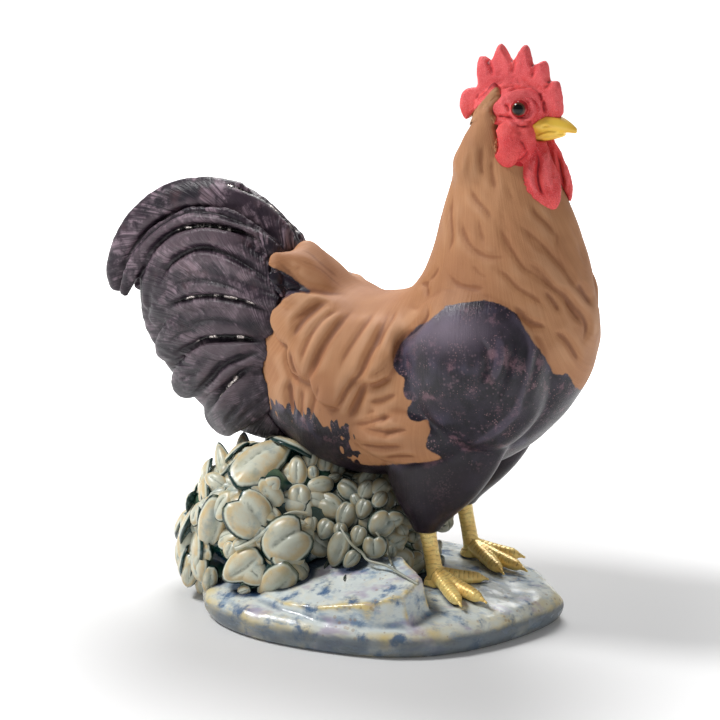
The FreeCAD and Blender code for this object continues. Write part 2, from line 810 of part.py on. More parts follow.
def make_pieces():
    vents = make_vents()
    slab, body = slab_form(), evened(body_form())
    boulder = seated(make_boulder(), slab)
    core = evened(seated(tail_core_form(), body))
    wings, tail = wing_pieces(body), tail_pieces(body, core)
    pieces = {
        "base_slab": slab.cut([slab_hollow(), vents]),
        "front_boulder": boulder,
        "body_shell": body.cut([body_form(body_wall, 1), vents]),
        "tail_core": main_solid(core.cut([tail_core_form(tail_wall, 1), vents])),
        **head_pieces(body), **wings, **tail,
        **leg_pieces(slab, body, wings),
        **saddle_pieces(body, core, wings, tail),
    }
    pieces.update(planting_pieces(slab, boulder, body, core, pieces))
    return pieces


def export(pieces):
    os.makedirs("parts", exist_ok=True)
    for name, shape in pieces.items():
        shape.exportStep(f"parts/{name}.step")
        print(name, round(shape.Volume), len(shape.Solids), shape.isValid())


export(make_pieces())
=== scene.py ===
# %% [markdown]
# This notebook dresses a porcelain rooster on a leafy rock base. The solids come from CAD and
# carry the real size and the places of the pieces. Here each casting gets the modelling that a
# sculptor's tool and a decorator's brush give it. Loading the solids first keeps every later
# step inside them.

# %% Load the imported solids
import math
import bpy
import numpy as np
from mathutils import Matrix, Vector, noise
from mathutils.bvhtree import BVHTree


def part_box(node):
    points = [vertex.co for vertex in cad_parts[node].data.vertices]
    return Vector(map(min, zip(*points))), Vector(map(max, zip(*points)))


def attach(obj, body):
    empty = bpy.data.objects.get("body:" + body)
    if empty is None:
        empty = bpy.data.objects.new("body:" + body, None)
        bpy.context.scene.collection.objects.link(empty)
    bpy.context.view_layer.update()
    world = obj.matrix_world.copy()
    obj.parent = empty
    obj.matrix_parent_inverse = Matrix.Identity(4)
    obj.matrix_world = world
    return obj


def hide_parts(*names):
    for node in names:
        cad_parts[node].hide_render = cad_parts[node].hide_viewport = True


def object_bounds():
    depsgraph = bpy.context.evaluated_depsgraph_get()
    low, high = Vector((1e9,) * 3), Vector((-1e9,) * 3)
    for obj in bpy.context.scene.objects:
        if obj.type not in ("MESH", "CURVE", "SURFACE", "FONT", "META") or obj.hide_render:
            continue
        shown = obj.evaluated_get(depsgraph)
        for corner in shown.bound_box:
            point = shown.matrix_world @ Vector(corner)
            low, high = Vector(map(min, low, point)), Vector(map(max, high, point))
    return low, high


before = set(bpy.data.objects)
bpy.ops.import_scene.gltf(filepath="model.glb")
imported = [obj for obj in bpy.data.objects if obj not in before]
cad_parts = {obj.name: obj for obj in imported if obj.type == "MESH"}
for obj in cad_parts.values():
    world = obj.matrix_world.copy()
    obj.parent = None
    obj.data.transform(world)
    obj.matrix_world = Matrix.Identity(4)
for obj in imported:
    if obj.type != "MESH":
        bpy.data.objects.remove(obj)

MM = 0.001
cad_low, cad_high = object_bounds()
print("solids span", [round((b - a) / MM, 1) for a, b in zip(cad_low, cad_high)], "mm")

# %% [markdown]
# The camera stands where the photographer stood: a little in front of the bird's right side and
# above it, with a long lens. A long lens keeps the proportions of tail and head true. The same
# numbers turn a point of the bird into a place in the picture, and that is how the creases and
# the painted edges are laid on later.

# %% Camera
PICTURE_SIZE = 720
CAMERA_AZIMUTH = math.radians(25)
CAMERA_ELEVATION = math.radians(15)
CAMERA_DISTANCE = 1100 * MM
CAMERA_TARGET = Vector((-18, -21, 130)) * MM
CAMERA_REACH = 10
FOCAL_LENGTH = 110
SENSOR_WIDTH = 36
FOCAL_PIXELS = FOCAL_LENGTH / SENSOR_WIDTH * PICTURE_SIZE
MM_PER_PIXEL = 0.5
camera_back = Vector((
    math.sin(CAMERA_AZIMUTH) * math.cos(CAMERA_ELEVATION),
    -math.cos(CAMERA_AZIMUTH) * math.cos(CAMERA_ELEVATION),
    math.sin(CAMERA_ELEVATION)))
camera = bpy.data.objects.new("Camera", bpy.data.cameras.new("Camera"))
camera.data.lens = FOCAL_LENGTH
camera.data.sensor_width = SENSOR_WIDTH
camera.location = CAMERA_TARGET + camera_back * CAMERA_DISTANCE
camera.rotation_euler = (-camera_back).to_track_quat("-Z", "Y").to_euler()
camera.data.clip_end = CAMERA_REACH
bpy.context.scene.collection.objects.link(camera)
bpy.context.scene.camera = camera
camera_turn = np.array(camera.rotation_euler.to_matrix())
camera_right, camera_up, camera_behind = camera_turn.T
print("camera at", [round(v, 3) for v in camera.location])


def in_picture(points):
    """Picture places of points given in millimetres, as columns x and y."""
    seen = (points * MM - np.array(camera.location)) @ camera_turn
    x = PICTURE_SIZE / 2 + FOCAL_PIXELS * seen[:, 0] / -seen[:, 2]
    y = PICTURE_SIZE / 2 - FOCAL_PIXELS * seen[:, 1] / -seen[:, 2]
    return np.stack([x, y], axis=1)


def ray_through(x, y):
    """Start in millimetres and direction of the line of sight through a picture place."""
    across = camera_right * (x - PICTURE_SIZE / 2)
    way = across - camera_up * (y - PICTURE_SIZE / 2) - camera_behind * FOCAL_PIXELS
    return np.array(camera.location) / MM, way / np.linalg.norm(way)


# %% [markdown]
# Porcelain pieces are cast apart and luted together with slip, so the joints vanish under the
# glaze. A voxel remesh does the same: it reads several solids as one volume and draws one skin
# round them. Its even quads also take sculpting well, which the long CAD triangles don't. The
# work below is done on plain arrays, because moving a hundred thousand points that way is quick.

# %% Finished pieces
def within_solids(points):
    """Points in millimetres, held inside the box of the solids."""
    return np.clip(points, np.array(cad_low) / MM, np.array(cad_high) / MM)


def finish_piece(name, mesh, material, replaced):
    """Links a mesh as a smooth piece that stands for its CAD nodes."""
    mesh.shade_smooth()
    mesh.materials.clear()
    mesh.materials.append(material)
    piece = bpy.data.objects.new(name, mesh)
    bpy.context.scene.collection.objects.link(piece)
    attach(piece, "root")
    if replaced:
        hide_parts(*replaced)
    triangles = sum(len(face.vertices) - 2 for face in mesh.polygons)
    print(f"{name}: {len(mesh.vertices)} points, {triangles} triangles")
    return piece


print("pieces stay between", [round(v / MM, 1) for v in cad_low], "and", [round(v / MM, 1) for v in cad_high])

# %% A skin that can be sculpted
class Skin:
    """An even mesh in millimetres, held as arrays."""

    def __init__(self, name, points, faces):
        self.name, self.points, self.faces = name, points, faces
        self.marks = {}
        corners = faces.shape[1]
        sides = np.concatenate([faces[:, [i, (i + 1) % corners]] for i in range(corners)])
        self.edges = np.unique(np.sort(sides, axis=1), axis=0)

    def normals(self):
        corner = self.points[self.faces]
        facing = np.cross(corner[:, 2] - corner[:, 0], corner[:, -1] - corner[:, 1])
        total = np.zeros_like(self.points)
        for column in range(self.faces.shape[1]):
            for axis in range(3):
                total[:, axis] += np.bincount(
                    self.faces[:, column], facing[:, axis], minlength=len(self.points))
        return total / np.maximum(np.linalg.norm(total, axis=1, keepdims=True), 1e-12)

    def averaged(self, values, rounds):
        """Values smoothed over neighbouring points."""
        values = np.array(values, dtype=float).reshape(len(self.points), -1)
        first, second = self.edges.T
        count = np.bincount(first, minlength=len(values)) + np.bincount(second, minlength=len(values))
        for _ in range(rounds):
            total = np.stack([
                np.bincount(first, column[second], minlength=len(values))
                + np.bincount(second, column[first], minlength=len(values))
                for column in values.T], axis=1)
            values = (values + total / np.maximum(count, 1)[:, None]) / 2
        return values.squeeze()

    def soften(self, rounds):
        self.points = self.averaged(self.points, rounds)

    def push(self, heights):
        self.points = self.points + self.normals() * np.asarray(heights)[:, None]

    def largest_island(self):
        """Drops the walls of closed hollows and any loose crumb."""
        label = np.arange(len(self.points))
        first, second = self.edges.T
        while True:
            low = np.minimum(label[first], label[second])
            nearer = label.copy()
            np.minimum.at(nearer, first, low)
            np.minimum.at(nearer, second, low)
            nearer = nearer[nearer]
            if np.array_equal(nearer, label):
                break
            label = nearer
        keep = label == np.bincount(label).argmax()
        number = np.cumsum(keep) - 1
        return Skin(self.name, self.points[keep], number[self.faces[keep[self.faces].all(axis=1)]])

    def build(self, material, slot, replaced):
        self.points = within_solids(self.points)
        mesh = bpy.data.meshes.new(self.name)
        mesh.from_pydata((self.points * MM).tolist(), [], self.faces.tolist())
        for name, values in self.marks.items():
            kind = "FLOAT" if values.ndim == 1 else "FLOAT_VECTOR"
            field = "value" if values.ndim == 1 else "vector"
            mark = mesh.attributes.new(name, kind, "POINT")
            mark.data.foreach_set(field, np.ascontiguousarray(values, dtype=np.float32).ravel())
        return finish_piece(self.name, mesh, material, replaced)


# %% Solids as arrays
def cad_arrays(nodes):
    """Points in millimetres and triangles of some CAD nodes together."""
    all_points, all_faces, start = [], [], 0
    for node in nodes:
        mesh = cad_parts[node].data
        points = np.empty(len(mesh.vertices) * 3, dtype=np.float32)
        mesh.vertices.foreach_get("co", points)
        mesh.calc_loop_triangles()
        faces = np.empty(len(mesh.loop_triangles) * 3, dtype=np.int32)
        mesh.loop_triangles.foreach_get("vertices", faces)
        all_points.append(points.reshape(-1, 3) / MM)
        all_faces.append(faces.reshape(-1, 3) + start)
        start += len(mesh.vertices)
    return np.concatenate(all_points), np.concatenate(all_faces)


def surface_of(nodes):
    """A tree for finding the nearest place on the solids, in millimetres."""
    points, faces = cad_arrays(nodes)
    return BVHTree.FromPolygons(points.tolist(), faces.tolist())


print("the body shell has", len(cad_arrays(["body_shell"])[1]), "triangles")

# %% [markdown]
# The casting has vents, which the figure's skin closes, and some forms need more clay than the
# plain solids give. So tubes and balls are made as closed meshes. They are handed to the remesh
# with the solids and vanish into the same skin.

# %% Tubes and balls of clay
def tube(start, end, radius, sides=12):
    """A closed tube in millimetres as points and triangles, to plug a vent."""
    start, end = np.array(start, float), np.array(end, float)
    along = (end - start) / np.linalg.norm(end - start)
    across = np.cross(along, (0.0, 1.0, 0.0)) if abs(along[1]) < 0.9 else np.array((1.0, 0, 0))
    other = np.cross(along, across)
    turns = np.arange(sides) * 2 * math.pi / sides
    ring = radius * (np.outer(np.cos(turns), across) + np.outer(np.sin(turns), other))
    points = np.concatenate([start + ring, end + ring, [start], [end]])
    faces = []
    for i in range(sides):
        j = (i + 1) % sides
        faces += [(i, i + sides, j), (j, i + sides, j + sides)]
        faces += [(j, 2 * sides, i), (i + sides, 2 * sides + 1, j + sides)]
    return points, np.array(faces)


def ball(centre, radii, turns=20, rows=12):
    """A closed ball in millimetres, to fill a form out before it is fused."""
    points, faces = [(0.0, 0.0, 1.0)], []
    for row in range(1, rows):
        lean = math.pi * row / rows
        for turn in range(turns):
            way = 2 * math.pi * turn / turns
            points.append((math.sin(lean) * math.cos(way), math.sin(lean) * math.sin(way), math.cos(lean)))
    points.append((0.0, 0.0, -1.0))
    for turn in range(turns):
        after = (turn + 1) % turns
        faces.append((0, 1 + turn, 1 + after))
        for row in range(rows - 2):
            a, b = 1 + row * turns, 1 + (row + 1) * turns
            faces += [(a + turn, b + turn, b + after), (a + turn, b + after, a + after)]
        last = 1 + (rows - 2) * turns
        faces.append((last + turn, len(points) - 1, last + after))
    return np.array(points) * radii + centre, np.array(faces)


VENT_RADIUS = 3.4
BELLY_VENT = ((-48, -14, -0.2), (-48, -14, 118))
TAIL_VENT = ((-30, 0, 128), (-80, 0, 128))
VENT_PLUGS = [tube(start, end, VENT_RADIUS) for start, end in (BELLY_VENT, TAIL_VENT)]
print(len(VENT_PLUGS), "vents to plug")

# %% One skin round several solids
def fused(name, nodes, voxel, extra=(), reshape=None):
    """One even skin round several CAD nodes and some closed fillings."""
    points, faces = cad_arrays(nodes)
    if reshape:
        points = reshape(points)
    for more, more_faces in extra:
        faces = np.concatenate([faces, more_faces + len(points)])
        points = np.concatenate([points, more])
    mesh = bpy.data.meshes.new(name)
    mesh.from_pydata((points * MM).tolist(), [], faces.tolist())
    holder = bpy.data.objects.new(name + "_holder", mesh)
    bpy.context.scene.collection.objects.link(holder)
    remesh = holder.modifiers.new("Skin", "REMESH")
    remesh.mode = "VOXEL"
    remesh.voxel_size = voxel * MM
    graph = bpy.context.evaluated_depsgraph_get()
    even = bpy.data.meshes.new_from_object(holder.evaluated_get(graph))
    bpy.data.objects.remove(holder)
    skin_points = np.empty(len(even.vertices) * 3, dtype=np.float32)
    even.vertices.foreach_get("co", skin_points)
    corners = np.empty(len(even.loops), dtype=np.int32)
    even.loops.foreach_get("vertex_index", corners)
    skin = Skin(name, skin_points.reshape(-1, 3).astype(float) / MM, corners.reshape(-1, 4))
    bpy.data.meshes.remove(even)
    bpy.data.meshes.remove(mesh)
    return skin.largest_island()


# %% Measures on a skin
def lumps(points, size, seed=0.0):
    """Smooth uneven heights between -1 and 1, with lumps of about the given size in mm."""
    return np.array([noise.noise(Vector(p)) for p in (points / size + seed).tolist()])


def mark_flow(skin, flow):
    skin.marks["flow_along"], skin.marks["flow_across"] = flow[:, 0], flow[:, 1]


def measure_hollows(skin, rounds):
    """Positive in hollows and negative on ridges, in mm."""
    wide = skin.averaged(skin.points, rounds)
    return ((wide - skin.points) * skin.normals()).sum(axis=1)


def step(low, high, values):
    """0 below low, 1 above high and a smooth rise between."""
    t = np.clip((values - low) / (high - low), 0, 1)
    return t * t * (3 - 2 * t)


print("halfway between its limits a step gives", step(0, 2, 1))

# %% [markdown]
# A sculptor draws the creases of the plumage with a wooden tool, in long strokes. Each stroke
# here is a short row of places in the picture, with a width in pixels and a depth in
# millimetres. A smooth line is run through them. The left side, which the picture doesn't
# show, takes the same strokes from its mirror image.

# %% Strokes of the modelling tool
STROKE_PARTS = 5
SEEN_FROM, SEEN_WHOLE = 0.05, 0.42


def smooth_line(marks):
    """A smooth line through marks, by Catmull and Rom's rule."""
    marks = np.array(marks, dtype=float)
    ends = np.concatenate([[2 * marks[0] - marks[1]], marks, [2 * marks[-1] - marks[-2]]])
    line = []
    for i in range(1, len(ends) - 2):
        a, b, c, d = ends[i - 1:i + 3]
        for part in range(STROKE_PARTS):
            t = part / STROKE_PARTS
            line.append(0.5 * (2 * b + (c - a) * t + (2 * a - 5 * b + 4 * c - d) * t ** 2
                               + (3 * b - a - 3 * c + d) * t ** 3))
    return np.array(line + [ends[-2]])


def to_line(places, line):
    """Signed distance in pixels to a line, and the share of the way along it."""
    start, run = line[:-1], np.diff(line, axis=0)
    length = np.maximum(np.linalg.norm(run, axis=1), 1e-9)
    best = np.full(len(places), 1e9)
    side, share = np.ones(len(places)), np.zeros(len(places))
    done, total = 0.0, length.sum()
    for s, r, n in zip(start, run, length):
        off = places - s
        t = np.clip((off @ r) / (n * n), 0, 1)
        gap = np.linalg.norm(off - t[:, None] * r, axis=1)
        near = gap < best
        best[near] = gap[near]
        side[near] = np.where(r[0] * off[near, 1] - r[1] * off[near, 0] > 0, 1.0, -1.0)
        share[near] = (done + t[near] * n) / total
        done += n
    return best * side, share


def stroke_heights(places, strokes):
    """Height in mm and crease shade that a list of strokes gives at picture places."""
    height, shade = np.zeros(len(places)), np.zeros(len(places))
    for marks, width, depth, lift in strokes:
        line = smooth_line(marks)
        reach = 5 * width + 2
        low, high = line.min(axis=0) - reach, line.max(axis=0) + reach
        near = np.flatnonzero(((places > low) & (places < high)).all(axis=1))
        if not len(near):
            continue
        gap, share = to_line(places[near], line)
        fade = step(0, 0.3, share) * step(0, 0.3, 1 - share)
        across = gap / (width * (0.45 + 0.55 * fade))
        groove = np.exp(-across ** 2) * fade
        line_shade = np.exp(-(across / 0.55) ** 2) * fade ** 0.5
        shoulder = np.exp(-((np.abs(across) - 2.2) / 1.3) ** 2) * fade
        overlap = np.exp(-np.clip(gap, 0, None) / (3.5 * width)) * (gap > 0) * fade ** 2
        height[near] += -depth * groove + 0.28 * depth * shoulder + lift * overlap * (1 - groove)
        shade[near] = np.maximum(shade[near], line_shade * min(1.0, max(0.3, depth / 1.5)))
    return height, shade


def strokes_on(skin, strokes):
    """Stroke heights and shades of each point or, where it is hidden, of its mirror image."""
    normal = skin.normals()
    facing = normal @ np.array(camera_back)
    mirror = np.array((1.0, -1.0, 1.0))
    facing_mirrored = (normal * mirror) @ np.array(camera_back)
    direct = step(SEEN_FROM, SEEN_WHOLE, facing)
    mirrored = step(SEEN_FROM, SEEN_WHOLE, facing_mirrored) * (1 - direct)
    results = [stroke_heights(in_picture(points), strokes) for points in (skin.points, skin.points * mirror)]
    return [a * direct + b * mirrored for a, b in zip(*results)]


def inside(places, outline):
    """Signed distance in pixels to a closed outline, positive inside it."""
    loop = smooth_line(list(outline) + [outline[0]])
    gap, _ = to_line(places, loop)
    x, y = places.T
    crossings = np.zeros(len(places), dtype=int)
    for (x0, y0), (x1, y1) in zip(loop[:-1], loop[1:]):
        spans = (y0 > y) != (y1 > y)
        if y1 != y0:
            crossings += spans & (x < (x1 - x0) * (y - y0) / (y1 - y0) + x0)
    return np.abs(gap) * np.where(crossings % 2 == 1, 1.0, -1.0)


def near_side(points):
    """Points with the left half mirrored onto the right, which the picture shows."""
    flipped = points.copy()
    flipped[:, 1] = -np.abs(flipped[:, 1])
    return flipped


def field_depth(skin, outline):
    """How far inside an outline in the picture each point lies, in pixels."""
    return inside(in_picture(near_side(skin.points)), outline)


print("a stroke of three marks is drawn through", len(smooth_line([(0, 0), (4, 3), (8, 0)])), "places")

# %% [markdown]
# The bird stands on a plain pale table in a photographer's tent. One soft lamp hangs high on the
# left, a weak one stands to the right, and a third behind lights the rump and the edge of the
# neck. Soft lamps give the gentle shadow and the long highlights that glaze needs.

# %% Floor and lamps
FLOOR_HALF_WIDTH = 6.0
FLOOR_GREY = 0.74
FLOOR_ROUGHNESS = 0.6
GLOW_FROM, GLOW_TO = 0.12, 0.4
GLOW_NEAR, GLOW_FAR = 0.04, 0.95
TENT_STRENGTH = 0.2
# Each lamp: its name, its place and its width in metres, and its watts.
LAMPS = (
    ("key_lamp", (-0.8, -0.35, 1.25), 0.4, 17),
    ("fill_lamp", (1.1, -0.35, 0.55), 0.9, 0.8),
    ("back_lamp", (-0.3, 0.8, 1.0), 0.8, 12))


def plain_floor():
    """Pale paper that glows to white away from the figure."""
    side = FLOOR_HALF_WIDTH
    mesh = bpy.data.meshes.new("floor")
    mesh.from_pydata([(-side, -side, 0), (side, -side, 0), (side, side, 0), (-side, side, 0)],
                     [], [(0, 1, 2, 3)])
    floor = bpy.data.objects.new("floor", mesh)
    bpy.context.scene.collection.objects.link(floor)
    paper = bpy.data.materials.new("floor_paper")
    paper.use_nodes = True
    shader = paper.node_tree.nodes["Principled BSDF"]
    shader.inputs["Base Color"].default_value = (FLOOR_GREY, FLOOR_GREY, FLOOR_GREY, 1)
    shader.inputs["Roughness"].default_value = FLOOR_ROUGHNESS
    shader.inputs["Emission Color"].default_value = (1, 1, 1, 1)
    place = paper.node_tree.nodes.new("ShaderNodeTexCoord").outputs["Object"]
    away = paper.node_tree.nodes.new("ShaderNodeVectorMath")
    away.operation = "LENGTH"
    glow = paper.node_tree.nodes.new("ShaderNodeMapRange")
    glow.interpolation_type = "SMOOTHSTEP"
    for socket, value in ((1, GLOW_FROM), (2, GLOW_TO), (3, GLOW_NEAR), (4, GLOW_FAR)):
        glow.inputs[socket].default_value = value
    paper.node_tree.links.new(place, away.inputs[0])
    paper.node_tree.links.new(away.outputs["Value"], glow.inputs[0])
    paper.node_tree.links.new(glow.outputs[0], shader.inputs["Emission Strength"])
    mesh.materials.append(paper)


def soft_lamp(name, place, size, watts):
    lamp = bpy.data.lights.new(name, "AREA")
    lamp.shape, lamp.size, lamp.energy = "DISK", size, watts
    holder = bpy.data.objects.new(name, lamp)
    holder.location = place
    holder.rotation_euler = (CAMERA_TARGET - Vector(place)).to_track_quat("-Z", "Y").to_euler()
    bpy.context.scene.collection.objects.link(holder)


def white_tent():
    """White to the lens, and much weaker as a lamp."""
    tent = bpy.data.worlds.new("tent")
    tent.use_nodes = True
    tree = tent.node_tree
    seen = tree.nodes.new("ShaderNodeLightPath").outputs["Is Camera Ray"]
    strength = tree.nodes.new("ShaderNodeMapRange")
    strength.inputs["To Min"].default_value = TENT_STRENGTH
    strength.inputs["To Max"].default_value = 1.0
    tree.links.new(seen, strength.inputs["Value"])
    tree.links.new(strength.outputs[0], tree.nodes["Background"].inputs["Strength"])
    tree.nodes["Background"].inputs["Color"].default_value = (1, 1, 1, 1)
    bpy.context.scene.world = tent


plain_floor()
for lamp_values in LAMPS:
    soft_lamp(*lamp_values)
white_tent()
bpy.context.scene.view_settings.view_transform = "Standard"

# %% [markdown]
# Materials are trees of nodes. A small bench of helpers adds a node, sets it and links it in one
# line, so that each finish below reads like a recipe. All patterns read Object coordinates or a
# mark that was stored on the skin, so they stay on the piece from every side.

# %% Bench for node trees
def paint(red, green, blue):
    """A colour on the usual 0 to 255 scale as Blender's linear colour."""
    shares = [v / 255 for v in (red, green, blue)]
    return tuple(v / 12.92 if v <= 0.04045 else ((v + 0.055) / 1.055) ** 2.4 for v in shares) + (1.0,)


class Bench:
    """Adds nodes to a tree. Each method gives back the socket that carries the result."""

    def __init__(self, tree):
        self.tree = tree

    def put(self, kind, values=(), **settings):
        node = self.tree.nodes.new(kind)
        for name, value in settings.items():
            setattr(node, name, value)
        for socket, value in dict(values).items():
            target = node.inputs[socket]
            if isinstance(value, bpy.types.NodeSocket):
                self.tree.links.new(value, target)
            else:
                target.default_value = value
        return node

    def sums(self, operation, first, second):
        return self.put("ShaderNodeMath", {0: first, 1: second}, operation=operation).outputs[0]

    def rise(self, value, low, high, bottom=0.0, top=1.0):
        """Bottom where the value is low, top where it is high, with a smooth change between."""
        return self.put("ShaderNodeMapRange", {0: value, 1: low, 2: high, 3: bottom, 4: top},
                        interpolation_type="SMOOTHSTEP").outputs[0]

    def blend(self, share, first, second):
        return self.put("ShaderNodeMix", {0: share, 6: first, 7: second}, data_type="RGBA").outputs[2]

    def tint(self, color, share, strength, shade):
        """The colour with some of a shade over it, as much as share times strength."""
        return self.blend(self.sums("MULTIPLY", share, strength), color, shade)

    def place(self):
        return self.put("ShaderNodeTexCoord").outputs["Object"]

    def mark(self, name):
        return self.put("ShaderNodeAttribute", attribute_name=name).outputs["Fac"]

    def clouds(self, place, scale, detail=3.0, roughness=0.55):
        return self.put("ShaderNodeTexNoise", {
            "Vector": place, "Scale": scale, "Detail": detail, "Roughness": roughness}).outputs[0]

    def cells(self, place, scale):
        return self.put("ShaderNodeTexVoronoi", {"Vector": place, "Scale": scale}).outputs["Distance"]

    def use(self, group, values, output):
        return self.put("ShaderNodeGroup", values, node_tree=group).outputs[output]


def effect(name, inputs, outputs, make):
    """A shader node group with named inputs and outputs."""
    tree = bpy.data.node_groups.new(name, "ShaderNodeTree")
    for label, value in inputs.items():
        kind = "NodeSocketFloat" if isinstance(value, float) else "NodeSocketColor"
        tree.interface.new_socket(label, in_out="INPUT", socket_type=kind).default_value = value
    for label in outputs:
        kind = "NodeSocketColor" if label == "Color" else "NodeSocketFloat"
        tree.interface.new_socket(label, in_out="OUTPUT", socket_type=kind)
    bench = Bench(tree)
    given = bench.put("NodeGroupInput").outputs
    end = bench.put("NodeGroupOutput").inputs
    for label, socket in make(bench, given).items():
        tree.links.new(socket, end[label])
    print("effect:", name, "with", ", ".join(inputs))
    return tree


def wire(bench, shader, color, roughness, height, relief, metallic=None):
    """Links the changing sockets of a finish."""
    links = bench.tree.links
    links.new(color, shader.inputs["Base Color"])
    links.new(roughness, shader.inputs["Roughness"])
    if metallic is not None:
        links.new(metallic, shader.inputs["Metallic"])
    bump = bench.put("ShaderNodeBump", {"Height": height, "Distance": relief * MM, "Strength": 1.0})
    links.new(bump.outputs[0], shader.inputs["Normal"])


def new_finish(name):
    """A new material, the bench for its tree, and its shader."""
    material = bpy.data.materials.new(name)
    material.use_nodes = True
    print("finish:", name)
    return material, Bench(material.node_tree), material.node_tree.nodes["Principled BSDF"]


print("the middle of the usual scale is", round(paint(128, 128, 128)[0], 3), "in linear light")

# %% [markdown]
# Five effects come back in many finishes of a glazed and bisque figure: the fine grain of fired
# clay, brushed colour that breaks up at its edge, specks in a glaze, the combed lines of feather
# barbs, and glaze that runs off the ridges and pools in the hollows. Each is one node group, and
# every finish sets its own values.

# %% Shared effects
def make_clay_grain(bench, given):
    place = bench.place()
    tone = bench.clouds(place, given["Patch Scale"], 4.0)
    fine = bench.clouds(place, given["Grain Scale"], 2.0)
    return {"Tone": bench.rise(tone, 0.3, 0.7), "Height": fine}


def make_brushed_edge(bench, given):
    place = bench.place()
    streak = bench.clouds(place, given["Breakup Scale"], 5.0, 0.7)
    wander = bench.sums("MULTIPLY", bench.sums("SUBTRACT", streak, 0.5), given["Breakup"])
    moved = bench.sums("ADD", given["Value"], wander)
    low = bench.sums("SUBTRACT", given["Level"], given["Softness"])
    high = bench.sums("ADD", given["Level"], given["Softness"])
    return {"Mask": bench.rise(moved, low, high)}


def make_glaze_speckle(bench, given):
    place = bench.place()
    spots = bench.cells(place, given["Scale"])
    patch = bench.clouds(place, bench.sums("MULTIPLY", given["Scale"], 0.15), 3.0)
    size = bench.sums("MULTIPLY", bench.rise(patch, 0.35, 0.7), given["Cover"])
    inner = bench.sums("MULTIPLY", size, 0.6)
    return {"Mask": bench.rise(spots, size, inner)}


def make_feather_barbs(bench, given):
    x = bench.sums("MULTIPLY", given["Along"], 0.035)
    y = bench.sums("MULTIPLY", given["Across"], given["Lines per mm"])
    place = bench.put("ShaderNodeCombineXYZ", {0: x, 1: y}).outputs[0]
    lines = bench.clouds(place, 1.0, 3.0, 0.6)
    return {"Lines": bench.rise(lines, 0.35, 0.65), "Height": lines}


def make_pooled_glaze(bench, given):
    place = bench.place()
    drift = bench.clouds(place, given["Run Scale"], 4.0, 0.6)
    depth = bench.sums("ADD", given["Depth"], bench.sums("MULTIPLY", bench.sums("SUBTRACT", drift, 0.5), 0.5))
    thin = bench.blend(bench.rise(depth, 0.15, 0.5), given["Ridge Color"], given["Middle Color"])
    return {"Color": bench.blend(bench.rise(depth, 0.5, 0.9), thin, given["Pool Color"]),
            "Depth": bench.rise(depth, 0.3, 0.9)}


clay_grain = effect("Clay Grain", {"Patch Scale": 40.0, "Grain Scale": 2500.0},
                    ("Tone", "Height"), make_clay_grain)
brushed_edge = effect("Brushed Edge", {
    "Value": 0.0, "Level": 0.5, "Softness": 0.1, "Breakup": 0.5, "Breakup Scale": 300.0},
    ("Mask",), make_brushed_edge)
glaze_speckle = effect("Glaze Speckle", {"Scale": 900.0, "Cover": 0.5}, ("Mask",), make_glaze_speckle)
feather_barbs = effect("Feather Barbs", {"Along": 0.0, "Across": 0.0, "Lines per mm": 1.0},
                       ("Lines", "Height"), make_feather_barbs)
pooled_glaze = effect("Pooled Glaze", {
    "Depth": 0.5, "Run Scale": 60.0, "Ridge Color": paint(215, 195, 155),
    "Middle Color": paint(200, 205, 185), "Pool Color": paint(20, 55, 55)},
    ("Color", "Depth"), make_pooled_glaze)


def brushed_mask(bench, mark, level, softness, breakup, scale):
    """The Brushed Edge effect, worked on one mark of the skin."""
    return bench.use(brushed_edge, {
        "Value": bench.mark(mark), "Level": level, "Softness": softness, "Breakup": breakup,
        "Breakup Scale": scale}, "Mask")


# %% [markdown]
# The plumage is bare porcelain stained tan, with no glaze, so it is matt and warm. The wing's
# shoulder, the belly and the thighs carry a dark lustre, dabbed on with a sponge: blue-black and
# lilac, with pink specks. Both lie on one skin, and the painted edge is a mark that holds how
# far inside the painted field a point lies.

